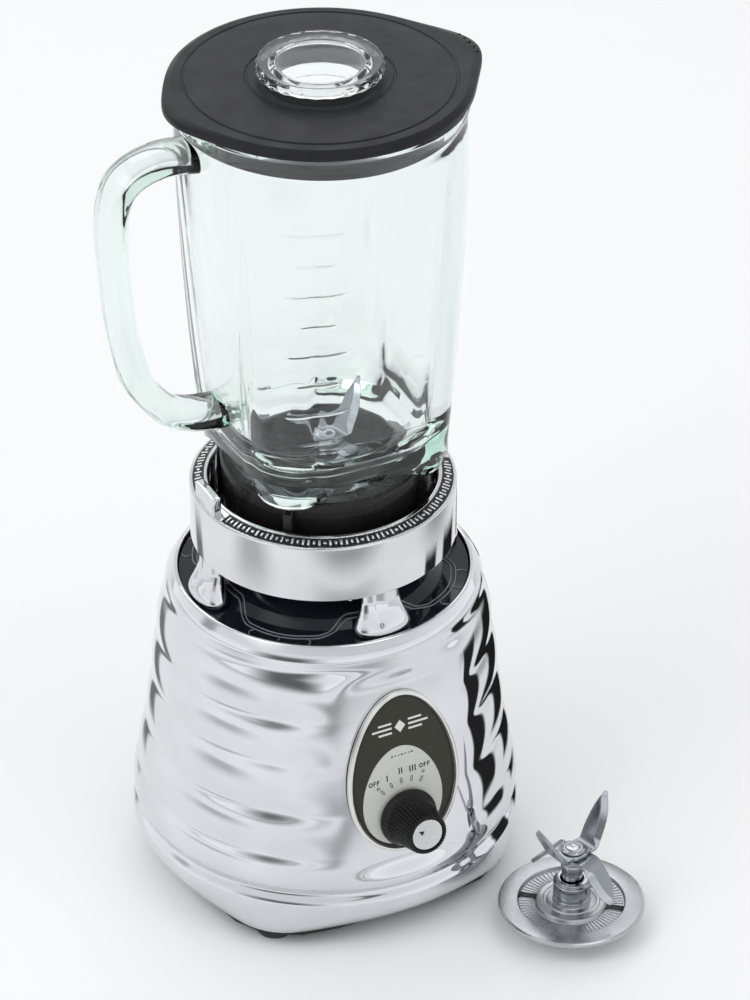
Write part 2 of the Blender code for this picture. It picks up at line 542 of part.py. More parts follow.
def make_rotor(steel):
    stud_foot = RING_Z[0] + 0.0031
    profile = ((0, 0.0240), (0.0040, 0.0240), (0.0040, stud_foot - 0.0003), (0.0024, stud_foot - 0.0003),
               (0.0024, stud_foot + 0.0070), (0, stud_foot + 0.0070))
    lathe("motor_shaft", profile, SEG_MID, steel)
    for name, radius, z0, z1, look in (
            ("rotor_core", 0.0240, 0.0600, 0.0920, ((0.3, 0.3, 0.32), METAL, 0.4)),
            ("commutator", 0.0120, 0.0380, 0.0500, ((0.6, 0.3, 0.12), METAL, 0.3))):
        lathe(name, ((0.0042, z0), (radius, z0), (radius, z1), (0.0042, z1)), SEG_MID, look)
    outline = []
    for i in range(10):
        for step, r in ((0.0, 0.0100), (0.30, 0.0310), (0.60, 0.0310), (0.72, 0.0100)):
            angle = 2 * math.pi * (i + step) / 10
            outline.append((r * math.cos(angle), r * math.sin(angle)))
    fan = prism("cooling_fan", outline, 0.1010, 0.1100, ((0.03, 0.03, 0.03), PLASTIC, 0.4))
    cut(fan, rod("cut_fan", 0.0042, 0.100, 0.112, SEG_MID, at=(0, 0)))
    disc = stud_foot - 0.0003
    profile = ((0.0042, disc - 0.0042), (0.0150, disc - 0.0040), (0.0170, disc - 0.0034),
               (0.0170, disc - 0.0026), (0.0120, disc - 0.0008), (0.0070, disc), (0.0042, disc))
    lathe("slinger_disc", profile, SEG_MID, ((0.62, 0.64, 0.66), PLASTIC, 0.4))
    stud = prism("drive_stud", [(0.0062 * math.cos(math.pi / 3 * i), 0.0062 * math.sin(math.pi / 3 * i))
                                for i in range(6)], stud_foot, stud_foot + 0.0024, steel)
    half, tip = 0.0039, stud_foot + 0.0150
    rows = []
    for size, z in ((half, stud_foot + 0.0012), (half, tip - 0.0010), (half - 0.0012, tip)):
        c = size - 0.0008
        rows.append([(x, y, z) for x, y in ((size, -c), (size, c), (c, size), (-c, size), (-size, c),
                                            (-size, -c), (-c, -size), (c, -size))])
    merge(stud, loft("add_stud", rows))
    cut(stud, rod("cut_stud", 0.0024 + FIT, stud_foot - 0.001, stud_foot + 0.0075, SEG_SMALL, at=(0, 0)))


# ---- jar and its foot -------------------------------------------------------------------------
def make_cap():
    low, high = CAP_Z
    floor = FLANGE_TOP - 0.0020 - FIT
    bore = NECK + 0.0012
    profile = ((CAP_FOOT - 0.0008, low), (CAP_FOOT, low + 0.0010), (CAP_FOOT + 0.0004, LEDGE_TOP),
               (CAP_HEAD, high - 0.0010), (CAP_HEAD - 0.0010, high), (bore + 0.0006, high),
               (bore, high - 0.0008), (bore, floor), (0.0275, floor), (0.0275, floor - 0.0030),
               (0.0380, floor - 0.0030), (0.0386, floor - 0.0040), (0.0390, low))
    cap = lathe("bottom_cap", profile, SEG_BIG, ((0.015, 0.014, 0.013), PLASTIC, 0.25))
    for i, angle in enumerate(a + math.pi / 4 for a in quarter_turns()):
        merge(cap, block("add_rib_%d" % i, 0.0400, CAP_RIB, -0.0022, 0.0022, LEDGE_TOP + FIT, high - 0.0030,
                         to=Matrix.Rotation(angle, 4, "Z")))


def make_cutter(prefix, at, down, turned):
    """The flanged housing, shaft and blades. `down` lowers the set and `turned` turns its blades."""
    place = Matrix.Translation((at[0], at[1], -down))
    spin = place @ Matrix.Rotation(turned, 4, "Z")
    origin = place.translation
    steel, pale = ((0.46, 0.48, 0.50), METAL, 0.25), ((0.62, 0.64, 0.66), METAL, 0.30)
    z = FLANGE_TOP
    profile = ((0.0074, z - 0.0119), (0.0115, z - 0.0119), (0.0115, z - 0.0044), (0.0230, z - 0.0037),
               (0.0245, z - 0.0020), (FLANGE_RADIUS, z - 0.0020), (FLANGE_RADIUS, z), (0.0240, z), (0.0234, z - 0.0016),
               (0.0162, z - 0.0016), (0.0152, z + 0.0003), (HUB_RADIUS, z + 0.0005), (HUB_RADIUS, z + 0.0113), (0.0074, z + 0.0125),
               (0.0052, z + 0.0125), (0.0052, z + 0.0007), (0.0074, z + 0.0001))
    lathe(prefix + "housing", profile, SEG_MID + 4, pale, place, origin)
    stack = ((SHAFT + FIT, z + 0.0130), (0.0047, z + 0.0130), (0.0047, z + 0.0190), (0.0052, z + 0.0194),
             (0.0052, z + BLADE_Z - FIT), (SHAFT + FIT, z + BLADE_Z - FIT))
    core = [(0, z - 0.0136), (0.0064, z - 0.0136), (0.0070, z - 0.0130), (0.0070, z - 0.0007),
            (SHAFT, z - 0.0003)]
    if prefix == "cutter_":
        lathe("cutter_spacer", stack, SEG_MID, steel, place, origin)
        lathe("cutter_bush", ((SHAFT + FIT, z + 0.0012), (0.0049, z + 0.0012), (0.0049, z + 0.0122),
                              (SHAFT + FIT, z + 0.0122)), SEG_MID, ((0.55, 0.35, 0.15), METAL, 0.4), place, origin)
    else:
        core = [(0, z - 0.0119 + FIT)] + [(0.0064, z - 0.0119 + FIT), (0.0070, z - 0.0110)] + core[3:]
        core += [(SHAFT, z + 0.0130), (0.0047, z + 0.0130), (0.0047, z + 0.0190), (0.0052, z + 0.0194),
                 (0.0052, z + BLADE_Z - FIT), (SHAFT, z + BLADE_Z - FIT)]
    shaft = lathe(prefix + "shaft", core + [(SHAFT, z + 0.0276), (0, z + 0.0276)], SEG_MID, steel,
                  spin @ Matrix.Rotation(0.1, 4, "Z"), origin)
    for i in range(2):
        half = 0.0042
        cut(shaft, block("cut_%sstar_%d" % (prefix, i), -half, half, -half, half, z - 0.020, z - 0.0021,
                         to=spin @ Matrix.Rotation(math.pi / 4 * i, 4, "Z")))
    low = blade(prefix + "blade_lower", z + BLADE_Z, spin @ Matrix.Rotation(LOW_ARM, 4, "Z"), origin, steel,
                ((0.0225, -0.0150), (0.0225, -0.0150)))
    high = blade(prefix + "blade_upper", z + BLADE_Z + 0.0019, spin @ Matrix.Rotation(LONG_ARM, 4, "Z"), origin,
                 steel, ((0.0205, 0.0235), (0.0200, 0.0195)))
    for i, item in enumerate((low, high)):
        cut(item, rod("cut_%seye_%d" % (prefix, i), SHAFT + FIT, z + 0.020, z + 0.040, SEG_MID, to=spin))
    top = z + BLADE_Z + 0.0038
    lathe(prefix + "rivet", ((0, top), (0.0054, top), (0.0054, top + 0.0008), (0.0040, top + 0.0018),
                             (0, top + 0.0018)), SEG_MID, pale, spin, origin)


def blade(name, z, place, origin, look, tips):
    """A bent strip. Each tip is (distance from the axis, rise above the flat middle)."""
    thick, bend = 0.0016, 0.0095
    stations = []
    for sign, (reach, rise) in ((-1, tips[1]), (1, tips[0])):
        slope = Vector((reach - bend, rise)).normalized()
        arm = []
        for share, wide in ((0.0, 0.0110), (0.35, 0.0100), (0.72, 0.0080), (1.0, 0.0016)):
            at = Vector((bend, 0.0)) + Vector((reach - bend, rise)) * share
            normal = Vector((-slope.y, slope.x))
            if share == 0.0:
                normal = (normal + Vector((0, 1))).normalized() / max(0.2, math.cos(0.5 * slope.angle((1, 0))))
            arm.append((sign, at, normal * thick, wide))
        stations += [arm[::-1], arm] if False else [arm[::-1] if sign < 0 else arm]
        if sign < 0:
            stations.append([(-1, Vector((0.0050, 0.0)), Vector((0, thick)), 0.0136),
                             (1, Vector((0.0050, 0.0)), Vector((0, thick)), 0.0136)])
    rows = []
    for sign, at, off, wide in [s for group in stations for s in group]:
        rows.append([place @ Vector((sign * (at.x + o.x), y * wide / 2, z + at.y + o.y))
                     for o, y in ((Vector((0, 0)), -1), (Vector((0, 0)), 1), (off, 1), (off, -1))])
    return loft(name, rows, look, origin=origin)


def spout(angle):
    near = abs((angle + math.pi) % (2 * math.pi) - math.pi)
    return SPOUT * math.exp(-((near / 0.30) ** 2))


def make_jar():
    low = FLANGE_TOP + 0.0026
    foot = CAP_Z[1] + 0.0015
    rise = JAR_TOP - foot
    widen = JAR_MOUTH - JAR_FOOT_HALF
    outer = []
    for part, share, power in ((0.055, 0.05, 4.2), (0.16, 0.17, 3.9), (0.33, 0.37, 3.5), (0.53, 0.57, 3.1),
                               (0.73, 0.77, 2.7), (0.885, 0.93, 2.25)):
        outer.append((foot + rise * part, JAR_FOOT_HALF + widen * share, power))
    angles = [2 * math.pi * i / SEG_JAR for i in range(SEG_JAR)]

    def row(maker):
        return [(r * math.cos(a), r * math.sin(a), z) for a in angles for r, z in [maker(a)]]

    def level(r, z, power=2.0, lip=0.0):
        return row(lambda a: (r * squared(a, power) + lip * spout(a), z))

    def corner(angle):
        return smooth(1.05, 1.18, squared(angle, 4.2))

    rows = [level(NECK - 0.0006, low), level(NECK, low + 0.0010), level(NECK, foot + 0.0010)]
    rows.append(level(NECK + 0.0050, foot + 0.0036))
    rows.append(row(lambda a: (JAR_FOOT_HALF * squared(a, 4.2), foot + 0.0060 - 0.0055 * corner(a))))
    rows += [level(r, z, power) for z, r, power in outer]
    for r, z, lip in ((JAR_MOUTH, -0.0100, 0.35), (JAR_MOUTH + 0.0014, -0.0060, 0.8),
                      (JAR_MOUTH + 0.0012, -0.0024, 1.0), (JAR_MOUTH - 0.0004, 0.0, 1.0),
                      (JAR_MOUTH - 0.0036, 0.0, 1.0), (JAR_MOUTH - 0.0042, -0.0060, 0.8)):
        rows.append(level(r, JAR_TOP + z, 2.0, lip))
    rows += [level(r - JAR_WALL, z - 0.001, max(2.1, power - 0.1)) for z, r, power in reversed(outer[1:])]
    rows.append(level(JAR_FOOT_HALF - 0.0060, foot + 0.0165, 3.4))
    rows.append(level(NECK_BORE + 0.0050, foot + 0.0080, 2.4))
    rows += [level(NECK_BORE, foot + 0.0030), level(NECK_BORE, low)]
    jar = loft("jar_glass", rows, ((0.80, 0.90, 0.85), GLASS, 0.03), loop=True)
    merge(jar, loft("add_handle", handle_rows(foot, rise)))


def handle_rows(foot, rise):
    reach = HANDLE_REACH
    line = [Vector(p) for p in (
        (JAR_MOUTH - 0.0035, foot + rise * 0.900), (JAR_MOUTH + 0.0100, foot + rise * 0.915),
        (reach - 0.0110, foot + rise * 0.900), (reach - 0.0010, foot + rise * 0.825),
        (reach, foot + rise * 0.70), (reach - 0.0025, foot + rise * 0.50),
        (reach - 0.0090, foot + rise * 0.32), (reach - 0.0230, foot + rise * 0.215),
        (JAR_FOOT_HALF + 0.0060, foot + rise * 0.185), (JAR_FOOT_HALF + 0.0006, foot + rise * 0.185))]
    rows = []
    for i, at in enumerate(line):
        along = (line[min(i + 1, len(line) - 1)] - line[max(i - 1, 0)]).normalized()
        side = Vector((-along.y, along.x))
        row = []
        for k in range(10):
            t = 2 * math.pi * (k + 0.5) / 10
            r = squared(t, 2.6)
            x = at.x + side.x * 0.0066 * r * math.cos(t)
            row.append((-x, 0.0095 * r * math.sin(t), at.y + side.y * 0.0066 * r * math.cos(t)))
        rows.append(row)
    return rows


def make_lid():
    z = JAR_TOP + FIT
    hole = FEEDER_RADIUS + 0.0005
    profile = ((hole, z - 0.0020), (hole, z + 0.0077), (hole + 0.0030, z + 0.0077), (hole + 0.0036, z + 0.0050),
               (LID_RADIUS - 0.0030, z + 0.0042), (LID_RADIUS, z + 0.0028), (LID_RADIUS, z),
               (JAR_MOUTH - 0.0060, z), (JAR_MOUTH - 0.0062, z - 0.0130), (JAR_MOUTH - 0.0088, z - 0.0130),
               (JAR_MOUTH - 0.0092, z - 0.0020))

    def tab(index, angle, r, height):
        return (r + 1.35 * spout(angle) + 0.8 * spout(angle + math.pi) if index in (4, 5, 6) else r), height

    lathe("lid", profile, SEG_BIG, ((0.015, 0.015, 0.015), PLASTIC, 0.4), change=tab)
    top = z + 0.0077 + FIT
    profile = ((0, top + 0.0044), (0.0255, top + 0.0044), (0.0270, top + 0.0030), (0.0270, top),
               (FEEDER_RADIUS, top), (FEEDER_RADIUS - 0.0004, top - 0.0180), (FEEDER_RADIUS - 0.0022, top - 0.0180),
               (FEEDER_RADIUS - 0.0022, top + 0.0020), (0, top + 0.0020))
    lathe("feeder_cap", profile, 28, ((0.85, 0.88, 0.88), GLASS, 0.08))


def make_gasket():
    z = FLANGE_TOP + FIT
    profile = ((0.0262, z), (0.0332, z), (0.0332, z + 0.0020), (0.0262, z + 0.0020))
    lathe("jar_gasket", profile, SEG_BIG, ((0.05, 0.045, 0.04), RUBBER, 0.7))


clear_scene()
make_housing()
make_inlet()
make_top_plate()
make_collar()
make_collar_screws()
make_panel()
make_switch()
make_bottom()
make_motor()
make_cap()
make_cutter("cutter_", (0.0, 0.0), 0.0, 0.0)
make_gasket()
make_jar()
make_lid()
make_cutter("spare_", SPARE_AT, FLANGE_TOP - 0.0119 + FOOT_HEIGHT, 0.0)
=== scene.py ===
"""Looks of a countertop blender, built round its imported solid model.

Metres, +Z up. The drive axis is the Z axis and the control panel faces -Y. Every piece is made in
mesh code in the frame of the solid model, and moves with the body that it belongs to.
"""

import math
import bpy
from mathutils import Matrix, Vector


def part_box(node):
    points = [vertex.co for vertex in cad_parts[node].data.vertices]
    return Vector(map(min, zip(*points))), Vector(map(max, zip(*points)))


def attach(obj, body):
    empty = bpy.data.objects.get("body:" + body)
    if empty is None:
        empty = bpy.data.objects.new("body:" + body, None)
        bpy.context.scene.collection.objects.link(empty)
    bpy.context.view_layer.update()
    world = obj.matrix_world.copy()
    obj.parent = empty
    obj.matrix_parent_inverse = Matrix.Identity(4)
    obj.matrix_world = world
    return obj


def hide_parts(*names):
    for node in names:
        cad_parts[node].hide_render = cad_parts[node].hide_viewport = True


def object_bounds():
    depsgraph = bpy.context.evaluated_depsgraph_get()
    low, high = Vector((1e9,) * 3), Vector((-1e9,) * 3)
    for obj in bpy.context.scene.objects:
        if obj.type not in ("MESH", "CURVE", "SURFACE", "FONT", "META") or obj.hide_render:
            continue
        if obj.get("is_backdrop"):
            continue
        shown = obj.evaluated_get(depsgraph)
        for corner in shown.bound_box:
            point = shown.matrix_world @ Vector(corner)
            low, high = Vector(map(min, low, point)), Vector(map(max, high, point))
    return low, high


bl_info = {
    "name": "Countertop Blender Looks",
    "version": (1, 0, 0),
    "blender": (4, 5, 0),
    "location": "3D View > Sidebar > Countertop Blender",
    "description": "Plated base, collar, panel, glass jar, lid and cutters of a countertop blender",
    "category": "Object",
}

import bmesh
import bpy
import numpy as np
from mathutils import Matrix, Vector

MM = 0.001
WELD = 1.5e-6

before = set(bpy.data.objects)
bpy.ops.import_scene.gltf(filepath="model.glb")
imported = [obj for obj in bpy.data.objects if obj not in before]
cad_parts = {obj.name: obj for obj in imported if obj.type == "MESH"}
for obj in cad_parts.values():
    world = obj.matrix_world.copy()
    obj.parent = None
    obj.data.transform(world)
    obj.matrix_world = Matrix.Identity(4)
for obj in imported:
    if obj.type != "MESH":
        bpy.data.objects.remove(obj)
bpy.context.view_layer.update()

# Housing: its radii at the widest band and at the rim, and the share of the height where each
# groove lies.
RIM_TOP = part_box("housing")[1].z
BELLY = 0.0872
RIM = 0.0669
HEM_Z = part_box("housing")[0].z
BELLY_Z = 0.0220
BAND_EDGES = (0.184, 0.314, 0.457, 0.621, 0.764, 0.921)
BODY_CURVE = ((0.0, 1.0), (0.1, 0.985), (0.2, 0.925), (0.3, 0.80), (0.4, 0.675), (0.5, 0.585),
              (0.6, 0.505), (0.7, 0.43), (0.8, 0.345), (0.9, 0.235), (0.96, 0.15), (1.0, 0.0))
PLATE_TOP = RIM_TOP - 0.0018

# Control panel and knob. The seat is the panel's distance from the axis, the lean is from upright.
PANEL_SEAT, PANEL_Z, PANEL_LEAN = 0.0746, 0.082, math.radians(8.3)
PANEL_WIDTH, PANEL_HEIGHT, PANEL_RIM = 0.053, 0.078, 0.0023
KNOB_DROP, KNOB_FOOT, KNOB_END = 0.0222, 0.0030, 0.0225

# Collar ring, cutter sets and jar.
RING_OUT, RING_BORE, LEDGE_BORE = 0.0580, 0.0493, 0.0438
RING_LOW, RING_HIGH, LEDGE_TOP = 0.1640, 0.1912, 0.1697
FLANGE_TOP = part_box("cutter_rivet")[1].z - 0.0297
SPARE_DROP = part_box("cutter_rivet")[1].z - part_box("spare_rivet")[1].z
SPARE_AT = tuple((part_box("spare_rivet")[0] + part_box("spare_rivet")[1]) * 0.5)[:2]
JAR_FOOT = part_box("bottom_cap")[1].z + 0.0015
JAR_TOP = 0.3820
JAR_RISE = JAR_TOP - JAR_FOOT
JAR_BORE, JAR_NECK, JAR_HALF, JAR_FLARE, SPOUT = 0.0293, 0.0343, 0.0455, 0.0150, 0.0062
QUARTERS = [math.pi / 2 * i for i in range(4)]


# ---- mesh work --------------------------------------------------------------------------------
def rounded(corners, steps=4, closed=True):
    """A line of (x, y) or (x, y, radius) with each corner rounded by its radius."""
    points = [np.array(p[:2], float) for p in corners]
    radii = [p[2] if len(p) > 2 else 0.0 for p in corners]
    made, count = [], len(points)
    for i, (here, radius) in enumerate(zip(points, radii)):
        if radius <= 0 or (not closed and i in (0, count - 1)):
            made.append(here)
            continue
        back, ahead = points[i - 1] - here, points[(i + 1) % count] - here
        lb, la = np.linalg.norm(back), np.linalg.norm(ahead)
        cos = float(np.clip(back @ ahead / (lb * la), -1, 1))
        reach = min(radius / max(0.05, math.tan(math.acos(cos) / 2)), 0.48 * lb, 0.48 * la)
        start, end = here + back / lb * reach, here + ahead / la * reach
        for k in range(steps + 1):
            t = k / steps
            made.append((1 - t) ** 2 * start + 2 * t * (1 - t) * here + t * t * end)
    return np.array(made)


def near(x, z, *points):
    """Points of (x, z, corner radius), given in millimetres from the place (x, z)."""
    return [(x + right * MM, z + up * MM, *(c * MM for c in corner))
            for right, up, *corner in points]


def profile(points, base=0.0, steps=4, closed=True):
    """A rounded profile from (radius, height over the base, corner radius) in millimetres."""
    return rounded(near(0.0, base, *points), steps, closed)


def oblong(x0, x1, half, *radii, steps=4):
    """A rectangle of (x, y) across the X axis, with its corners at x0 and at x1 rounded."""
    first, last = radii[0], radii[-1]
    return rounded([(x0, -half, first), (x1, -half, last), (x1, half, last), (x0, half, first)],
                   steps)


def around(radius, angles, z):
    """Points at a radius and a height for each angle round Z."""
    radius, angles, z = np.broadcast_arrays(radius, angles, z)
    return np.stack([radius * np.cos(angles), radius * np.sin(angles), z], -1)


def level_row(outline, z):
    """An outline of (x, y) lifted to a height."""
    return np.column_stack([outline, np.full(len(outline), z)])


def full_turn(count):
    return np.linspace(0, 2 * math.pi, count, endpoint=False)


def web(points, loop_rows=False, loop_cols=True, caps=True):
    """(points, faces) of a grid of rows of points. Open ends of a tube are closed with a fan."""
    points = np.asarray(points, float)
    rows, cols = points.shape[:2]
    index = np.arange(rows * cols).reshape(rows, cols)
    down = np.vstack([index, index[:1]]) if loop_rows else index
    wide = np.hstack([down, down[:, :1]]) if loop_cols else down
    quads = np.stack([wide[:-1, :-1], wide[:-1, 1:], wide[1:, 1:], wide[1:, :-1]],
                     -1).reshape(-1, 4)
    flat = points.reshape(-1, 3)
    faces = [tuple(q) for q in quads.tolist()]
    if caps and loop_cols and not loop_rows:
        for row in (0, rows - 1):
            if np.ptp(points[row], axis=0).max() > 1e-7:
                faces += fan(flat, index[row].tolist())
                flat = np.vstack([flat, points[row].mean(0)])
    return flat, faces


def fan(flat, ring):
    middle = len(flat)
    return [(ring[i], ring[(i + 1) % len(ring)], middle) for i in range(len(ring))]


def turned(line, count, change=None, closed=True):
    """A profile of (radius, height) turned round Z. change(angles, rows) may move the points."""
    line, angles = np.asarray(line, float), full_turn(count)
    r, z = line[:, :1] + 0 * angles, line[:, 1:2] + 0 * angles
    if change:
        r, z = change(angles[None, :] + 0 * r, r, z)
    return web(around(r, angles, z), loop_rows=closed)


def inset(outline, by):
    """An outline moved in along its own normals."""
    outline = np.asarray(outline, float)
    along = np.roll(outline, -1, 0) - np.roll(outline, 1, 0)
    along /= np.linalg.norm(along, axis=1)[:, None]
    (x, y), (next_x, next_y) = outline.T, np.roll(outline, -1, 0).T
    area = np.sum(x * next_y - next_x * y)
    inward = np.column_stack([-along[:, 1], along[:, 0]]) * (1 if area > 0 else -1)
    return outline + inward * by


def slab(outline, low, high, edge=0.0003, steps=3):
    """A flat closed form with rounded edges, from an outline of (x, y)."""
    rows = []
    for k in range(steps + 1):
        a = math.pi / 2 * k / steps
        rows.append((edge * (1 - math.sin(a)), low + edge * (1 - math.cos(a))))
    rows += [(i, high + low - z) for i, z in reversed(rows)]
    outline = np.asarray(outline, float)
    return web([level_row(inset(outline, i) if i else outline, z) for i, z in rows])


def boxed(x0, x1, y0, y1, z0, z1, edge=0.0003):
    corners = [(x0, y0, edge * 2), (x1, y0, edge * 2), (x1, y1, edge * 2), (x0, y1, edge * 2)]
    return slab(rounded(corners, 3), z0, z1, edge)


def tube(path, section, closed=False, up=(0.0, 0.0, 1.0)):
    """A section of (across, up) swept along a path of points."""
    path, section = np.asarray(path, float), np.asarray(section, float)
    if closed:
        along = np.roll(path, -1, 0) - np.roll(path, 1, 0)
    else:
        along = np.gradient(path, axis=0)
    along /= np.linalg.norm(along, axis=1)[:, None]
    side = np.cross(along, np.asarray(up, float))
    side /= np.linalg.norm(side, axis=1)[:, None]
    lift = np.cross(side, along)
    across, height = section[None, :, :1], section[None, :, 1:2]
    return web(path[:, None] + side[:, None] * across + lift[:, None] * height, loop_rows=closed)


def run_along(line):
    """Distance from the start of a line to each of its points."""
    return np.concatenate([[0], np.cumsum(np.linalg.norm(np.diff(line, axis=0), axis=1))])


def side_of(line):
    """Unit vectors to the left of a flat line."""
    along = np.gradient(line, axis=0)
    along /= np.linalg.norm(along, axis=1)[:, None]
    return np.column_stack([-along[:, 1], along[:, 0]])


def half_round(width, height, steps=8):
    """Section of a raised line that stands on a surface."""
    line = [(width / 2 * math.cos(a), height * math.sin(a)) for a in np.linspace(0, math.pi, steps)]
    return line + [(-width / 2, -height * 0.6), (width / 2, -height * 0.6)]


def placed(shell, matrix):
    points, faces = shell
    matrix = np.array(matrix)
    return points @ matrix[:3, :3].T + matrix[:3, 3], faces


def moved(shell, x=0.0, y=0.0, z=0.0, turn=0.0):
    return placed(shell, Matrix.Translation((x, y, z)) @ Matrix.Rotation(turn, 4, "Z"))


def weld(mesh, thin=0.0):
    """Join points that meet, drop edges thinner than thin, and turn the faces outwards."""
    work = bmesh.new()
    work.from_mesh(mesh)
    bmesh.ops.remove_doubles(work, verts=work.verts, dist=WELD)
    if thin:
        bmesh.ops.dissolve_degenerate(work, edges=work.edges, dist=thin)
    bmesh.ops.recalc_face_normals(work, faces=work.faces)
    work.to_mesh(mesh)
    work.free()


def linked(name, data):
    obj = bpy.data.objects.new(name, data)
    bpy.context.scene.collection.objects.link(obj)
    return obj


def assemble(name, shells, finishes, body, stands_for, place=None, sharp=34.0):
    """One object from shells of (points, faces, finish number), riding on its body."""
    points, faces, looks, base = [], [], [], 0
    for shell in shells:
        shell_points, shell_faces, number = (*shell, 0)[:3]
        points.append(shell_points)
        faces += [tuple(i + base for i in face) for face in shell_faces]
        looks += [number] * len(shell_faces)
        base += len(shell_points)
    mesh = bpy.data.meshes.new(name)
    mesh.from_pydata(np.vstack(points).tolist(), [], faces)
    mesh.polygons.foreach_set("material_index", looks)
    for key in finishes:
        mesh.materials.append(finish(key))
    weld(mesh, 1e-7)
    settle(name, mesh, body, stands_for, place, sharp)


def settle(name, mesh, body, stands_for, place=None, sharp=34.0):
    """A finished mesh as an object that rides on its body and stands for solids of the frame."""
    mesh.polygons.foreach_set("use_smooth", [True] * len(mesh.polygons))
    mesh.set_sharp_from_angle(angle=math.radians(sharp))
    obj = linked(name, mesh)
    if place is not None:
        obj.matrix_world = place
    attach(obj, body)
    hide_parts(*stands_for)


def solid_mesh(name, shell):
    """A scratch object for cutting and joining."""
    mesh = bpy.data.meshes.new(name)
    mesh.from_pydata(np.asarray(shell[0]).tolist(), [], shell[1])
    weld(mesh)
    return linked(name, mesh)


def carved(shell, operation, tool, key):
    """The mesh of a shell after a tool is joined to it or cut from it, in one finish."""
    body, helper = solid_mesh("carving_blank", shell), solid_mesh("carving_tool", tool)
    step = body.modifiers.new("carve", "BOOLEAN")
    step.operation, step.solver, step.object = operation, "EXACT", helper
    bpy.context.view_layer.update()
    graph = bpy.context.evaluated_depsgraph_get()
    mesh = bpy.data.meshes.new_from_object(body.evaluated_get(graph))
    for scrap in (body, helper):
        bpy.data.objects.remove(scrap, do_unlink=True)
    mesh.materials.clear()
    mesh.materials.append(finish(key))
    return mesh


# ---- shape rules ------------------------------------------------------------------------------
def ease(low, high, value):
    t = np.clip((np.asarray(value, float) - low) / (high - low), 0, 1)
    return t * t * (3 - 2 * t)


def squared(angle, power):
    """Radius of a rounded square of half width 1."""
    return (np.abs(np.cos(angle)) ** power + np.abs(np.sin(angle)) ** power) ** (-1 / power)


def away_from(angle, middle):
    return np.abs((angle - middle + math.pi) % (2 * math.pi) - math.pi)


def housing_radius(z, angle, depth):
    """Outer radius of the housing above its tuck, with the bands and the flat seat of the panel."""
    share = (z - BELLY_Z + 0.007) / (RIM_TOP - BELLY_Z + 0.007)
    curve = np.array(BODY_CURVE)
    crest = RIM + (BELLY - RIM) * np.interp(share, curve[:, 0], curve[:, 1])
    part = np.ones_like(z)
    for low, high in zip(BAND_EDGES, BAND_EDGES[1:] + (1.08,)):
        inside = (z >= low * RIM_TOP) & (z <= high * RIM_TOP)
        part = np.where(inside, np.abs((2 * z / RIM_TOP - low - high) / (high - low)), part)
    part = np.where(z < BAND_EDGES[0] * RIM_TOP, ease(BELLY_Z - 0.004, BAND_EDGES[0] * RIM_TOP, z),
                    part)
    lowest = 1 + 0.9 * np.exp(-((z - BAND_EDGES[0] * RIM_TOP) / 0.0055) ** 2)
    radius = crest - depth * lowest * part ** 2
    off = away_from(angle, -math.pi / 2)
    reach = PANEL_HEIGHT / 2 + 0.003
    flatness = (1 - ease(0.36, 0.78, off)) * (1 - ease(reach, reach + 0.013, np.abs(z - PANEL_Z)))
    seat = PANEL_SEAT + (PANEL_Z - z) * math.tan(PANEL_LEAN)
    flat, swell, blend = seat / np.maximum(0.2, np.cos(off)), crest + 0.0010, 0.0012
    flat = -blend * np.log(np.exp(-(flat - seat) / blend) + np.exp(-(swell - seat) / blend)) + seat
    return radius + flatness * (flat - radius)


def hem_radius(angle):
    return 0.0705 * squared(angle, 3.9)


def panel_place(drop=0.0):
    """X right, Y up along the panel, Z out of it, with its origin on the seat."""
    up = Vector((0.0, math.sin(PANEL_LEAN), math.cos(PANEL_LEAN)))
    out = Vector((0.0, -math.cos(PANEL_LEAN), math.sin(PANEL_LEAN)))
    tilt = Matrix(((1, 0, 0, 0), (0, up.y, out.y, 0), (0, up.z, out.z, 0), (0, 0, 0, 1)))
    return Matrix.Translation(Vector((0.0, -PANEL_SEAT, PANEL_Z)) - up * drop) @ tilt


def egg(inwards, count=160):
    """Outline of the control panel, wider below."""
    t = full_turn(count)
    x = (PANEL_WIDTH / 2 - inwards) * np.sin(t) * (1 - 0.13 * np.cos(t))
    return np.column_stack([x, (PANEL_HEIGHT / 2 - inwards) * np.cos(t)])


def turned_xy(x, y, turn):
    return np.column_stack([x * math.cos(turn) - y * math.sin(turn),
                            x * math.sin(turn) + y * math.cos(turn)])


def oval(width, height, x=0.0, y=0.0, turn=0.0, count=24):
    t = full_turn(count)
    return turned_xy(width / 2 * np.cos(t), height / 2 * np.sin(t), turn) + (x, y)


# ---- finishes ---------------------------------------------------------------------------------
def new_node(tree, kind, values=(), **settings):
    """A node of a tree, with its settings and the (socket, value) pairs of its inputs."""
    made = tree.nodes.new("ShaderNode" + kind)
    for key, value in settings.items():
        setattr(made, key, value)
    for socket, value in values:
        made.inputs[socket].default_value = value
    return made


def map_range(tree, source, start, end, low, high, **settings):
    """A value carried from one range to another."""
    pairs = (("From Min", start), ("From Max", end), ("To Min", low), ("To Max", high))
    made = new_node(tree, "MapRange", pairs, **settings)
    tree.links.new(source, made.inputs["Value"])
    return made.outputs["Result"]


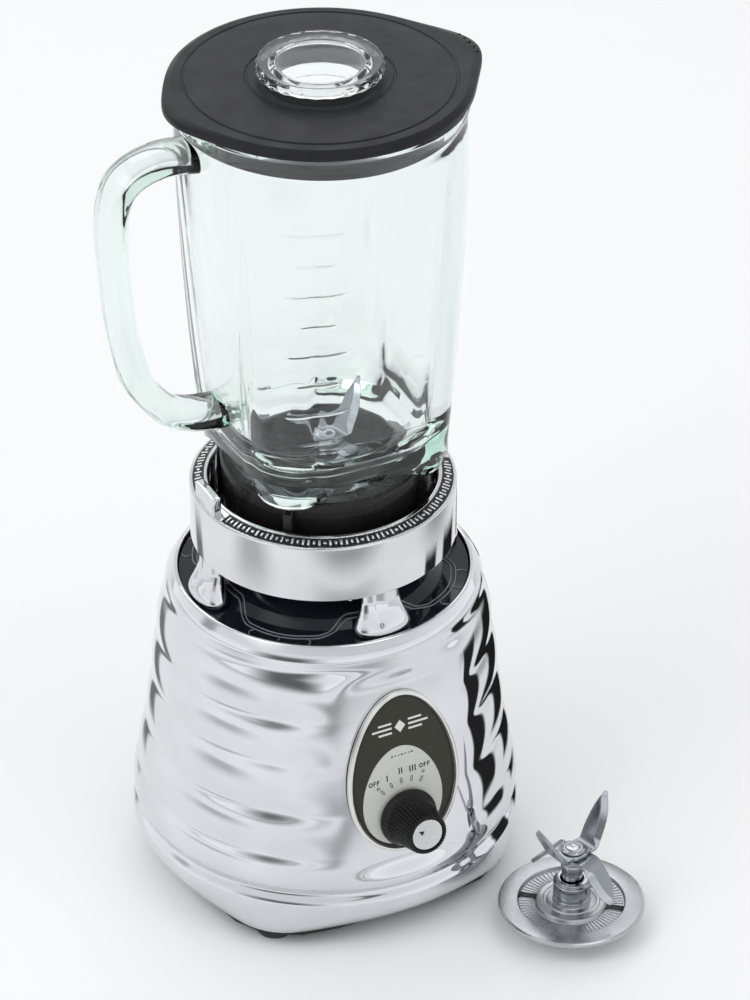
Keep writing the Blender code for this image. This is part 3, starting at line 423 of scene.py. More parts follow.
class Finish:
    """Builds one procedural material step by step."""

    def __init__(self, name, colour, metallic=0.0, roughness=0.4, ior=1.5):
        self.material = bpy.data.materials.new(name)
        self.material.use_nodes = True
        self.tree = self.material.node_tree
        self.shader = self.tree.nodes["Principled BSDF"]
        self.set("Base Color", (*colour, 1.0))
        self.set("Metallic", metallic)
        self.set("Roughness", roughness)
        self.set("IOR", ior)
        self.bumps = None
        self.place = self.node("TexCoord").outputs["Object"]

    def set(self, socket, value):
        self.shader.inputs[socket].default_value = value

    def node(self, kind, values=(), **settings):
        return new_node(self.tree, kind, values, **settings)

    def link(self, start, end):
        self.tree.links.new(start, end)

    def stretched(self, scale):
        mapping = self.node("Mapping", [("Scale", scale)])
        self.link(self.place, mapping.inputs["Vector"])
        return mapping.outputs["Vector"]

    def noise(self, scale, detail=3.0, stretch=None):
        made = self.node("TexNoise", [("Scale", scale), ("Detail", detail), ("Roughness", 0.55)])
        self.link(self.stretched(stretch) if stretch else self.place, made.inputs["Vector"])
        return made.outputs["Fac"]

    def turning_marks(self, scale):
        """Fine rings round the Z axis of the piece, as a lathe leaves them."""
        split, join = self.node("SeparateXYZ"), self.node("CombineXYZ")
        self.link(self.place, split.inputs[0])
        for axis in (0, 1):
            self.link(split.outputs[axis], join.inputs[axis])
        length = self.node("VectorMath", operation="LENGTH")
        self.link(join.outputs[0], length.inputs[0])
        made = self.node("TexNoise", [("Scale", scale), ("Detail", 2.0)], noise_dimensions="1D")
        self.link(length.outputs["Value"], made.inputs["W"])
        return made.outputs["Fac"]

    def waves(self, direction, scale, distortion):
        made = self.node("TexWave", [("Scale", scale), ("Distortion", distortion)],
                         bands_direction=direction)
        self.link(self.place, made.inputs["Vector"])
        return made.outputs["Fac"]

    def vary_roughness(self, source, low, high):
        self.link(map_range(self.tree, source, 0.3, 0.7, low, high),
                  self.shader.inputs["Roughness"])
        return self

    def vary_colour(self, source, first, second):
        ramp = self.node("ValToRGB")
        for stop, position, colour in zip(ramp.color_ramp.elements, (0.35, 0.65), (first, second)):
            stop.position, stop.color = position, (*colour, 1.0)
        self.link(source, ramp.inputs["Fac"])
        self.link(ramp.outputs["Color"], self.shader.inputs["Base Color"])
        return self

    def relief(self, source, strength, depth):
        made = self.node("Bump", [("Strength", strength), ("Distance", depth)])
        self.link(source, made.inputs["Height"])
        if self.bumps:
            self.link(self.bumps, made.inputs["Normal"])
        self.bumps = made.outputs["Normal"]
        self.link(self.bumps, self.shader.inputs["Normal"])
        return self


def plated(name, tint, low=0.035, high=0.075, wave=0.06):
    """Bright plating: faint haze, hair scratches and the slow waviness of pressed sheet."""
    made = Finish(name, tint, 1.0, low)
    dull = tuple(c * 0.93 for c in tint)
    made.vary_colour(made.noise(38.0, 2.0), dull, tint)
    made.vary_roughness(made.noise(55.0, 4.0), low, high)
    made.relief(made.noise(26.0, 1.0), wave, 0.0012)
    made.relief(made.noise(420.0, 3.0, (1.0, 1.0, 0.06)), 0.004, 0.0002)
    return made.material


def moulded(name, colour, roughness=0.32, grain=0.05, grain_scale=2600.0, coat=0.0, shine=0.3):
    """Moulded plastic: fine grain, flow marks and a slightly uneven shine."""
    made = Finish(name, colour, 0.0, roughness, 1.52)
    made.vary_colour(made.noise(60.0, 3.0), colour, tuple(c * 1.35 + 0.002 for c in colour))
    made.vary_roughness(made.noise(90.0, 4.0), roughness * 0.85, roughness * 1.25)
    made.relief(made.noise(grain_scale, 2.0), grain, 0.0003)
    made.relief(made.noise(45.0, 2.0), 0.05, 0.0008)
    made.set("Specular IOR Level", shine)
    if coat:
        made.set("Coat Weight", coat)
        made.set("Coat Roughness", 0.04)
    return made.material


def steel(name, colour, roughness=0.26, stretch=(1.0, 1.0, 0.05), marks=0.05, rings=0.0):
    """Ground or turned steel with its tool marks."""
    made = Finish(name, colour, 1.0, roughness)
    made.vary_colour(made.noise(70.0, 2.0), tuple(c * 0.95 for c in colour), colour)
    made.vary_roughness(made.noise(240.0, 2.0, stretch), roughness * 0.9, roughness * 1.12)
    if rings:
        made.relief(made.turning_marks(rings), marks, 0.0006)
    else:
        made.relief(made.noise(1500.0, 3.0, stretch), marks, 0.0004)
    return made.material


def rubber(name, colour):
    made = Finish(name, colour, 0.0, 0.8, 1.45)
    made.vary_colour(made.noise(120.0, 4.0), colour, tuple(c * 1.8 + 0.006 for c in colour))
    made.vary_roughness(made.noise(400.0, 4.0), 0.65, 0.92)
    made.relief(made.noise(1800.0, 4.0), 0.12, 0.0004)
    return made.material


def printed(name, colour, roughness=0.42, shine=0.5):
    """Screen-printed or enamelled layer with a faint mottle."""
    made = Finish(name, colour, 0.0, roughness, 1.5)
    made.vary_colour(made.noise(900.0, 3.0), tuple(c * 0.92 for c in colour), colour)
    made.vary_roughness(made.noise(300.0, 3.0), roughness * 0.85, roughness * 1.2)
    made.relief(made.noise(3200.0, 2.0), 0.02, 0.0001)
    made.set("Specular IOR Level", shine)
    return made.material


def pressed_glass(name, tint, density, wave=0.10):
    """Clear pressed glass with slow waves in its faces and a green depth in its edges."""
    made = Finish(name, (0.985, 0.995, 0.99), 0.0, 0.012, 1.50)
    made.set("Transmission Weight", 1.0)
    made.vary_roughness(made.noise(60.0, 3.0), 0.004, 0.022)
    made.relief(made.noise(34.0, 2.0), wave, 0.0016)
    made.relief(made.noise(150.0, 2.0, (1.0, 1.0, 0.35)), 0.02, 0.0006)
    depth = made.node("VolumeAbsorption", [("Color", (*tint, 1.0)), ("Density", density)])
    made.link(depth.outputs["Volume"], made.tree.nodes["Material Output"].inputs["Volume"])
    return made.material


def stacked(name, colour):
    """Sheets of iron stacked along Z."""
    made = Finish(name, colour, 1.0, 0.5)
    made.vary_colour(made.noise(160.0, 4.0), tuple(c * 0.6 for c in colour), colour)
    made.vary_roughness(made.noise(300.0, 3.0), 0.40, 0.62)
    made.relief(made.waves("Z", 320.0, 0.3), 0.5, 0.0004)
    return made.material


def wound(name, colour):
    """Enamelled wire laid side by side."""
    made = Finish(name, colour, 0.85, 0.34)
    made.vary_colour(made.noise(200.0, 3.0), tuple(c * 0.7 for c in colour), colour)
    made.vary_roughness(made.noise(240.0, 3.0), 0.26, 0.42)
    made.relief(made.waves("X", 420.0, 1.2), 0.6, 0.0004)
    return made.material


RECIPES = {
    "housing_plating": (plated, (0.755, 0.76, 0.785), 0.025, 0.06, 0.03),
    "cast_plating": (plated, (0.74, 0.745, 0.765), 0.035, 0.08, 0.05),
    "raised_plating": (plated, (0.88, 0.89, 0.90), 0.14, 0.26, 0.05),
    "plate_black": (moulded, (0.007, 0.010, 0.014), 0.08, 0.006, 900.0, 0.15, 0.22),
    # Raised contour lines of the top plate: dark grey instead of the plate's black, a painted
    # highlight for the white surroundings that the glossy ridges reflect.
    "plate_edge": (moulded, (0.13, 0.14, 0.15), 0.18, 0.02, 900.0, 0.5, 0.6),
    "band_black": (moulded, (0.008, 0.008, 0.009), 0.28, 0.10, 2000.0),
    "cap_black": (moulded, (0.009, 0.008, 0.008), 0.26, 0.035, 2400.0, 0.1, 0.25),
    "lid_black": (moulded, (0.009, 0.009, 0.010), 0.38, 0.10, 1800.0, 0.0, 0.2),
    "knob_black": (moulded, (0.006, 0.006, 0.006), 0.27, 0.03, 2600.0, 0.0, 0.22),
    "cover_black": (moulded, (0.012, 0.012, 0.012), 0.48, 0.14, 1700.0),
    "rim_satin": (steel, (0.83, 0.83, 0.79), 0.34, (1, 1, 0.3), 0.01),
    "panel_olive": (printed, (0.040, 0.039, 0.029), 0.36, 0.2),
    "panel_silver": (printed, (0.58, 0.585, 0.54), 0.38),
    "panel_cream": (printed, (0.74, 0.73, 0.68), 0.45),
    "insert_satin": (steel, (0.72, 0.73, 0.72), 0.26, (1, 1, 1), 0.008, 700.0),
    "flange_steel": (steel, (0.50, 0.52, 0.545), 0.28, (1, 1, 1), 0.006, 420.0),
    "hub_steel": (steel, (0.48, 0.495, 0.525), 0.11, (1, 1, 1), 0.003, 420.0),
    "blade_steel": (steel, (0.34, 0.36, 0.39), 0.22, (1.0, 0.08, 1.0), 0.012),
    "ground_edge": (steel, (0.58, 0.60, 0.64), 0.16, (0.08, 1.0, 1.0), 0.015),
    "stud_steel": (steel, (0.52, 0.51, 0.50), 0.24, (1.0, 1.0, 0.04), 0.03),
    "slinger_grey": (moulded, (0.64, 0.65, 0.66), 0.36, 0.05, 2200.0, 0.2),
    "foot_rubber": (rubber, (0.018, 0.018, 0.018)),
    "gasket_rubber": (rubber, (0.03, 0.028, 0.026)),
    "jar_glass": (pressed_glass, (0.72, 0.90, 0.82), 22.0),
    "feeder_clear": (pressed_glass, (0.90, 0.95, 0.94), 12.0, 0.03),
    "bush_bronze": (steel, (0.55, 0.36, 0.17), 0.34, (1, 1, 1), 0.08, 3000.0),
    "zinc_plate": (steel, (0.62, 0.63, 0.64), 0.30, (1.0, 1.0, 1.0), 0.05),
    "cast_alloy": (steel, (0.50, 0.50, 0.52), 0.48, (1.0, 1.0, 1.0), 0.20),
    "sheet_brass": (steel, (0.68, 0.50, 0.22), 0.30, (1.0, 0.1, 1.0), 0.05),
    "iron_stack": (stacked, (0.24, 0.24, 0.26)),
    "copper_wire": (wound, (0.60, 0.23, 0.08)),
    "copper_bars": (steel, (0.72, 0.38, 0.20), 0.28, (1.0, 1.0, 0.05), 0.08),
    "carbon_block": (rubber, (0.03, 0.03, 0.032)),
    "moulded_inner": (moulded, (0.03, 0.03, 0.031), 0.45, 0.12, 1500.0),
}
FINISHES = {}


def finish(key):
    """Each finish is made once, when the first piece asks for it."""
    if key not in FINISHES:
        maker, *values = RECIPES[key]
        FINISHES[key] = maker(key, *values)
    return FINISHES[key]


# ---- settings a user may change ---------------------------------------------------------------
class BaseSettings(bpy.types.PropertyGroup):
    band_depth: bpy.props.FloatProperty(
        name="Band Depth", description="How far the grooves of the housing lie below its bands",
        default=0.0016, min=0.0, max=0.003, unit="LENGTH")
    contour_height: bpy.props.FloatProperty(
        name="Contour Height", description="Height of the raised lines on the black top plate",
        default=0.00045, min=0.0001, max=0.001, unit="LENGTH")
    knob_ribs: bpy.props.IntProperty(
        name="Knob Ribs", description="Number of grip ribs round the knob",
        default=40, min=16, max=60)
    knob_rest: bpy.props.FloatProperty(
        name="Knob Rest", description="Angle of the pointer from straight up while switched off",
        default=math.radians(56), subtype="ANGLE", unit="ROTATION")


class JarSettings(bpy.types.PropertyGroup):
    wall: bpy.props.FloatProperty(
        name="Wall", description="Thickness of the glass of the jar",
        default=0.0047, min=0.003, max=0.007, unit="LENGTH")
    handle_grip: bpy.props.FloatProperty(
        name="Handle Grip", description="Half thickness of the glass handle",
        default=0.0066, min=0.004, max=0.008, unit="LENGTH")
    flute_depth: bpy.props.FloatProperty(
        name="Flute Depth", description="Depth of the pressed flutes near the corners of the jar",
        default=0.0008, min=0.0, max=0.0015, unit="LENGTH")


class CutterSettings(bpy.types.PropertyGroup):
    bevel: bpy.props.FloatProperty(
        name="Ground Edge", description="Width of the ground edge of each blade arm",
        default=0.0030, min=0.001, max=0.004, unit="LENGTH")
    sheet: bpy.props.FloatProperty(
        name="Blade Sheet", description="Thickness of the blade steel",
        default=0.0016, min=0.0008, max=0.0016, unit="LENGTH")


class StageSettings(bpy.types.PropertyGroup):
    view_azimuth: bpy.props.FloatProperty(
        name="View Azimuth", description="Direction of the camera from the front of the blender",
        default=math.radians(-27), subtype="ANGLE", unit="ROTATION")
    view_elevation: bpy.props.FloatProperty(
        name="View Elevation", description="Height of the camera above the horizon",
        default=math.radians(33.5), subtype="ANGLE", unit="ROTATION")
    view_distance: bpy.props.FloatProperty(
        name="View Distance", description="Distance of the camera from the middle of the blender",
        default=2.10, min=0.5, unit="LENGTH")
    lens: bpy.props.FloatProperty(
        name="Lens", description="Focal length in millimetres", default=174.0, min=20.0)
    floor_colour: bpy.props.FloatVectorProperty(
        name="Floor", description="Colour of the floor", subtype="COLOR", size=3,
        default=(0.965, 0.965, 0.965), min=0.0, max=1.0)
    light_power: bpy.props.FloatProperty(
        name="Light Power", description="Share of the full power of the studio lights",
        default=1.0, min=0.0)


# ---- stage ------------------------------------------------------------------------------------
def floor_paper(colour):
    made = bpy.data.materials.new("floor_paper")
    made.use_nodes = True
    shader = made.node_tree.nodes["Principled BSDF"]
    for key, value in (("Base Color", (*colour, 1.0)), ("Roughness", 0.75),
                       ("Specular IOR Level", 0.2)):
        shader.inputs[key].default_value = value
    return made


def stage_sheet(name, width, height, place, look):
    """A flat sheet of the studio, facing its own Z."""
    mesh = bpy.data.meshes.new(name)
    w, h = width / 2, height / 2
    mesh.from_pydata([(-w, -h, 0), (w, -h, 0), (w, h, 0), (-w, h, 0)], [], [(0, 1, 2, 3)])
    mesh.materials.append(look)
    obj = linked(name, mesh)
    obj.matrix_world = place
    obj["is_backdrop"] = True
    return obj


def facing(azimuth, elevation, distance, aim):
    """Where a lamp or card stands, turned so that its Z faces the aim point."""
    a, e = math.radians(azimuth), math.radians(elevation)
    back = Vector((math.sin(a) * math.cos(e), -math.cos(a) * math.cos(e), math.sin(e)))
    right = Vector((math.cos(a), math.sin(a), 0.0))
    up = back.cross(right)
    turn = Matrix((right, up, back)).transposed().to_4x4()
    return Matrix.Translation(Vector(aim) + back * distance) @ turn


def soft_edged(name, width, height, shade, edge):
    """An even glow that fades out over the outer share of the card."""
    look = bpy.data.materials.new(name)
    look.use_nodes = True
    tree = look.node_tree
    tree.nodes.remove(tree.nodes["Principled BSDF"])
    split = new_node(tree, "SeparateXYZ")
    tree.links.new(new_node(tree, "TexCoord").outputs["Object"], split.inputs[0])
    cover = new_node(tree, "Math", operation="MULTIPLY")
    for axis, half in enumerate((width / 2, height / 2)):
        size = new_node(tree, "Math", operation="ABSOLUTE")
        tree.links.new(split.outputs[axis], size.inputs[0])
        fade = map_range(tree, size.outputs[0], half, half * (1 - edge), 0.0, 1.0,
                         interpolation_type="SMOOTHSTEP")
        tree.links.new(fade, cover.inputs[axis])
    glow = new_node(tree, "Emission", [("Color", (0.97, 0.97, 1.0, 1.0)), ("Strength", shade)])
    clear, mix = new_node(tree, "BsdfTransparent"), new_node(tree, "MixShader")
    tree.links.new(cover.outputs[0], mix.inputs["Fac"])
    tree.links.new(clear.outputs[0], mix.inputs[1])
    tree.links.new(glow.outputs[0], mix.inputs[2])
    tree.links.new(mix.outputs[0], tree.nodes["Material Output"].inputs["Surface"])
    return look


def reflector(name, width, height, place, shade, edge):
    obj = stage_sheet(name, width, height, place, soft_edged(name, width, height, shade, edge))
    obj.visible_camera = obj.visible_diffuse = obj.visible_shadow = False
    return obj


def card(name, azimuth, elevation, distance, width, height, shade, edge, aim=(0, 0, 0.1)):
    """A soft-edged reflector or flag that only the bright surfaces and the glass see."""
    return reflector(name, width, height, facing(azimuth, elevation, distance, aim), shade, edge)


def mat(name, azimuth, distance, width, depth, shade):
    """A soft grey patch just over the floor, seen only by the bright surfaces."""
    place = facing(azimuth, 0, distance,
                   (0, 0, 0.0005)) @ Matrix.Rotation(math.radians(-90), 4, "X")
    reflector(name, width, depth, place, shade, 0.9).visible_transmission = False


def soft_lamp(name, azimuth, elevation, distance, width, height, power, aim=(0, 0, 0.15)):
    lamp = bpy.data.lights.new(name, "AREA")
    lamp.shape, lamp.size, lamp.size_y, lamp.energy = "RECTANGLE", width, height, power
    obj = linked(name, lamp)
    obj.matrix_world = facing(azimuth, elevation, distance, aim)
    obj.visible_camera = False
    return obj


LOW_AIM = (0, 0, 0.047)
# azimuth, elevation, distance, width, height, brightness, share of the soft edge, aim
CARDS = {
    "glow_left": (-80, 48, 1.9, 1.5, 1.5, 1.9, 0.9),
    "grey_front": (-50, 6, 0.80, 0.92, 0.44, 0.15, 0.85),
    "dark_right_near": (64, 0, 0.155, 0.045, 0.115, 0.02, 0.3, LOW_AIM),
    "dark_right": (92, 0, 0.155, 0.066, 0.115, 0.015, 0.3, LOW_AIM),
    "dark_right_back": (124, 0, 0.160, 0.036, 0.115, 0.03, 0.3, LOW_AIM),
    "grey_left_back": (-145, 0, 0.170, 0.055, 0.13, 0.22, 0.6, LOW_AIM),
    "grey_strip": (12, 27, 0.90, 1.00, 0.055, 0.16, 0.6),
    "grey_left": (-112, 20, 1.0, 0.30, 0.60, 0.45, 0.8),
}
# azimuth, distance, width, depth, brightness
MATS = {
    "grey_mat_front": (-8, 0.40, 0.62, 0.22, 0.45),
    "grey_mat_near": (-8, 0.245, 0.34, 0.13, 0.50),
    "grey_mat_left": (-85, 0.36, 0.30, 0.30, 0.60),
    "grey_mat_right": (80, 0.40, 0.40, 0.30, 0.36),
}


class KITCHEN_OT_stage(bpy.types.Operator):
    """Set up the pale floor, the soft lamps, the reflector cards and the camera"""

    bl_idname = "kitchen.stage"
    bl_label = "Stage and Camera"

    def execute(self, context):
        settings = context.scene.blender_stage
        floor = Matrix.Translation((0, 0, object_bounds()[0].z - 0.0002))
        stage_sheet("floor", 14.0, 14.0, floor, floor_paper(settings.floor_colour))
        self.light(context.scene, settings.light_power)
        self.camera(context.scene, settings)
        context.scene.view_settings.view_transform = "Standard"
        return {"FINISHED"}

    def light(self, scene, power):
        world = bpy.data.worlds.new("studio_air")
        world.use_nodes = True
        tree = world.node_tree
        split = new_node(tree, "SeparateXYZ")
        tree.links.new(new_node(tree, "TexCoord").outputs["Generated"], split.inputs[0])
        fade = map_range(tree, split.outputs["Z"], 0.0, 0.8, 1.12 * power, 0.66 * power)
        tree.links.new(fade, tree.nodes["Background"].inputs["Strength"])
        tree.nodes["Background"].inputs["Color"].default_value = (0.965, 0.98, 1.0, 1)
        scene.world = world
        soft_lamp("key_lamp", -80, 48, 1.9, 1.1, 1.1, 8 * power).visible_glossy = False
        soft_lamp("fill_lamp", 25, 62, 2.2, 1.2, 0.9, 4 * power)
        soft_lamp("back_lamp", 165, 50, 2.0, 1.5, 0.9, 5 * power)
        for name, values in CARDS.items():
            card(name, *values)
        for name, values in MATS.items():
            mat(name, *values)

    def camera(self, scene, settings):
        a, e = settings.view_azimuth, settings.view_elevation
        right = Vector((math.cos(a), math.sin(a), 0.0))
        aim = Vector((0.0, 0.0, 0.178)) + right * 0.0225
        data = bpy.data.cameras.new("camera")
        data.lens, data.sensor_width = settings.lens, 36.0
        data.clip_start, data.clip_end = 0.1, 40.0
        camera = linked("camera", data)
        camera.matrix_world = facing(math.degrees(a), math.degrees(e), settings.view_distance, aim)
        scene.camera = camera


# ---- motor base -------------------------------------------------------------------------------
def housing_shell(depth, count=320):
    """Bands, flat seat, tuck to the squared hem, rolled rim and the inner face."""
    angles = full_turn(count)
    edges = [part * RIM_TOP for part in BAND_EDGES]
    heights = [BELLY_Z]
    for low, high in zip([BELLY_Z] + edges[:-1], edges):
        heights += list(np.linspace(low, high, 19)[1:])
    heights = np.array(heights + list(np.linspace(edges[-1], RIM_TOP - 0.0062, 6)[1:]))
    z = heights[:, None] + 0 * angles
    r = housing_radius(z, angles[None, :] + 0 * z, depth)
    for _ in range(2):
        r[1:-1] = 0.25 * r[:-2] + 0.5 * r[1:-1] + 0.25 * r[2:]
    end = math.radians(66)
    share = np.linspace(1, 0, 22)[:-1, None] * end
    hem = hem_radius(angles)[None, :]
    tuck_r = r[:1] - (r[:1] - hem) * (1 - np.cos(share)) / (1 - math.cos(end))
    tuck_z = BELLY_Z - (BELLY_Z - HEM_Z) * np.sin(share) / math.sin(end) + 0 * tuck_r
    roll = rounded([(r[-1].mean(), RIM_TOP - 0.0062)]
                   + near(RIM, RIM_TOP, (1.2, -3.4, 3), (-1.2, 0, 1.8), (-2.9, 0, 0.8),
                          (-2.9, -5, 0.5))
                   + near(0.0532, RIM_TOP, (0, -5, 0.4), (0, -6.8, 0.4))
                   + near(RIM, RIM_TOP, (-2.2, -6.8)), 6, False)[1:]
    rows = [around(tuck_r, angles, tuck_z), around(r, angles, z),
            around(roll[:, :1], angles, roll[:, 1:2])]
    back_z = np.linspace(0.128, BELLY_Z, 9)[:, None] + 0 * angles
    back = housing_radius(back_z, angles[None, :] + 0 * back_z, 0.0) - 0.0036
    rows.append(around(back, angles, back_z))
    rows += [around(hem - 0.0018, angles, HEM_Z + by) for by in (0.0010, 0.0)]
    return web(np.concatenate(rows), loop_rows=True)


class KITCHEN_OT_housing(bpy.types.Operator):
    """Build the bright banded housing with its rolled rim and squared hem"""

    bl_idname = "kitchen.housing"
    bl_label = "Housing"

    def execute(self, context):
        depth = context.scene.blender_base.band_depth
        assemble("housing_bands", [housing_shell(depth)], ["housing_plating"], "base",
                 ["housing"], sharp=50.0)
        return {"FINISHED"}


PLATE_LINE = near(0.0, PLATE_TOP, (63.6, -2.9), (63.6, 0, 0.6), (52, 0, 1), (47.8, 3.8, 1.2),
                  (33, 9.2, 4), (20, 15.9, 3), (4.9, 16.1, 0.3), (4.9, 13.4), (19, 13, 2),
                  (32.5, 6.5), (45.5, 1), (47, -2.9))


def plate_height(radius):
    line = rounded(PLATE_LINE[:6], 6, False)[::-1]
    return np.interp(radius, line[:, 0], line[:, 1])


def plate_contour(count=720):
    """Radius of the inner of the two raised lines: out between the legs and in behind each leg."""
    angles = full_turn(count)
    near_leg = away_from(4 * angles, 0.0) / 4
    swing = ease(math.radians(13), math.radians(30), near_leg)
    return angles, 0.0462 + 0.0098 * swing + 0.0010 * np.cos(8 * angles) * swing


def plate_lines(height):
    shells = []
    angles, radius = plate_contour()
    for offset in (0.0, 0.0021):
        r = radius + offset
        shells.append(tube(around(r, angles, plate_height(r)), half_round(0.0007, height),
                           closed=True))
    for middle in QUARTERS:
        for step in (-12, 0, 12):
            a = middle + math.radians(45 + step)
            start = np.interp(a % (2 * math.pi), angles, radius) + 0.0024
            run = np.linspace(start, 0.0628, 10)
            bow = math.radians(step) * 0.10 * np.sin(np.linspace(0, math.pi, 10))
            shells.append(tube(around(run, a + bow, plate_height(run)), half_round(0.0006, height)))
    return shells


class KITCHEN_OT_top_plate(bpy.types.Operator):
    """Build the glossy black top plate with its raised contour lines and ribs"""

    bl_idname = "kitchen.top_plate"
    bl_label = "Top Plate"

    def execute(self, context):
        height = context.scene.blender_base.contour_height
        plate = turned(rounded(PLATE_LINE, 5), 192)
        # Finish 1 paints the raised contour lines a lighter grey than the black plate, as a painted
        # highlight.
        assemble("top_plate_black", [(*plate, 0)] + [(*line, 1) for line in plate_lines(height)],
                 ["plate_black", "plate_edge"], "base",
                 ["top_plate"], sharp=48.0)
        return {"FINISHED"}


# height over the plate, middle radius, half depth and half width of a leg, in millimetres
LEG_STATIONS = ((0, 56.2, 5.8, 11.2), (0.4, 56.2, 6.7, 12.4), (1.2, 56.2, 7.1, 13.0),
                (2.0, 56.2, 7.2, 13.1), (3.5, 56.2, 7.0, 12.8), (5.5, 56.0, 6.4, 11.9),
                (8.5, 55.5, 5.4, 10.6), (11.5, 54.9, 4.6, 9.6), (15.0, 54.2, 4.1, 8.9))


def leg_shell(angle, count=56):
    """A flared leg of the collar, with a shallow groove up its outer face."""
    foot, top = PLATE_TOP + 0.0003, RING_LOW + 0.0030
    table = np.array(LEG_STATIONS + (((top - foot) / MM, 53.8, 3.8, 8.6),)) * MM
    t = full_turn(count)
    rows = []
    for height in np.concatenate([table[:3, 0], np.linspace(0.0022, top - foot, 26)]):
        middle, deep, wide = (np.interp(height, table[:, 0], table[:, k]) for k in (1, 2, 3))
        shape = squared(t, 2.15)
        groove = 0.0009 * np.exp(-((wide * shape * np.sin(t) + 0.0030) / 0.0014) ** 2)
        groove = groove * (np.cos(t) > 0) * ease(0.0030, 0.0070, height)
        x = middle + deep * shape * np.cos(t) - groove
        y = wide * shape * np.sin(t)
        rows.append(level_row(turned_xy(x, y, angle), foot + height))
    return web(rows)


def ring_wall():
    """Section of the ring: outer wall, sunk band in its top face, bore and inner ledge."""
    return rounded(near(RING_OUT, RING_LOW, (-0.6, 0, 0.2), (0, 0.6, 0.6))
                   + near(RING_OUT, RING_HIGH, (0, -0.4, 0.7), (-0.9, 0, 0.5), (-1.4, 0.1, 0.1),
                          (-1.5, -0.1, 0.1))
                   + near(RING_BORE, RING_HIGH, (2.4, 1.3, 0.1), (2.3, 1.8, 0.1), (1, 2.1, 0.6),
                          (0, 1.2, 0.8))
                   + near(RING_BORE, LEDGE_TOP, (0, 0, 1.6))
                   + near(LEDGE_BORE, LEDGE_TOP, (0, 0, 0.5), (0, -2.6, 0.5))
                   + near(RING_BORE, RING_LOW, (-1, 0.6, 1), (-0.2, 0, 0.3)), 5)


def band_z(radius):
    """Height of the sunk black band on the sloping top face of the ring."""
    outer, inner = RING_OUT - 0.0015, RING_BORE + 0.0024
    share = (outer - np.asarray(radius)) / (outer - inner)
    return RING_HIGH - 0.0001 + 0.0014 * share


def band_shell(start, end, count=200):
    """The black enamel in the sunk band, between two angles."""
    angles = np.linspace(start, end, count)
    line = [(RING_OUT - 0.00155, -0.0003), (RING_OUT - 0.00155, 0.00006),
            (RING_BORE + 0.00245, 0.00006), (RING_BORE + 0.00245, -0.0003)]
    rows = [[(r * math.cos(a), r * math.sin(a), band_z(r) + by) for r, by in line] for a in angles]
    return web(rows)


def band_marks(start, end):
    """Raised bright hatching along the band: groups of short bars between small dots."""
    shells = []
    middle, step = RING_OUT - 0.0039, math.radians(2.45)
    for i in range(int((end - start) / step)):
        a = start + (i + 0.5) * step
        beat = i % 7
        if beat == 6:
            outline = oval(0.0015, 0.0015)
        else:
            long = (0.0032, 0.0020, 0.0032, 0.0032, 0.0020, 0.0032)[beat]
            outline = oblong(-long / 2, long / 2, 0.00046, 0.0002, steps=3)
        bar = slab(outline, -0.0001, 0.00042, 0.0001, 2)
        tilt = Matrix.Rotation(math.atan2(0.0014, 0.0048), 4, "Y")
        at = Matrix.Translation((middle, 0, float(band_z(middle))))
        shells.append(placed(bar, Matrix.Rotation(a, 4, "Z") @ at @ tilt))
    return shells


def ring_ribs():
    """Upright ribs and channels on the inner wall of the ring, beside each leg."""
    shells = []
    for middle in QUARTERS:
        for step, wide in ((-17, 0.0020), (-11, 0.0012), (11, 0.0012), (17, 0.0020)):
            bar = boxed(RING_BORE - 0.0010, RING_BORE + 0.0010, -wide / 2, wide / 2,
                        LEDGE_TOP - 0.0004, RING_HIGH - 0.0016, 0.0004)
            shells.append(moved(bar, turn=middle + math.radians(step)))
    return shells


def ring_curls():
    """Small bosses under the ring beside each leg."""
    shells = []
    for middle in QUARTERS:
        for side in (-1, 1):
            knob = turned(profile([(0, 0), (1.7, 0, 0.5), (2.1, 3, 0.8), (0, 3.4)], 0, 4, False),
                          20, closed=False)
            a = middle + side * math.radians(14.5)
            shells.append(moved(knob, 0.0530 * math.cos(a), 0.0530 * math.sin(a),
                                RING_LOW - 0.0028))
    return shells


def ring_ears():
    """Two upright prongs on the right and a low bar on the left, which lock the foot of the jar."""
    shells = []
    inner, outer = RING_BORE + 0.0016, RING_OUT - 0.0010
    for side in (-1, 1):
        outline = oblong(inner, outer, 0.0026, 0.0008, 0.0010)
        low, high = RING_HIGH - 0.004, RING_HIGH + 0.0092
        rows = []
        for z, share in ((low, 1.0), (high - 0.0040, 1.0), (high - 0.0016, 0.96),
                         (high - 0.0005, 0.88), (high, 0.70)):
            middle = outline.mean(0)
            rows.append(level_row(middle + (outline - middle) * share + (0, side * 0.0058), z))
        shells.append(web(rows))
        slope = boxed(RING_BORE + 0.0002, RING_BORE + 0.0022, -0.0013, 0.0013, LEDGE_TOP + 0.001,
                      high - 0.006, 0.0005)
        lean = Matrix.Rotation(side * math.radians(-7), 4, "X")
        lean = Matrix.Translation((0, side * 0.0036, 0)) @ lean
        sunk = placed(slope, Matrix.Translation((0, 0, RING_HIGH - 0.01)) @ lean
                      @ Matrix.Translation((0, 0, -RING_HIGH + 0.01)))
        shells.append(sunk)
    shells.append(slab(oblong(-outer, -inner - 0.0018, 0.0090, 0.001),
                       RING_HIGH - 0.004, RING_HIGH + 0.0086, 0.0006))
    shells.append(slab(oblong(-RING_BORE - 0.0036, -RING_BORE + 0.0006, 0.0060, 0.0008),
                       LEDGE_TOP + 0.004, RING_HIGH + 0.0010, 0.0006))
    return shells


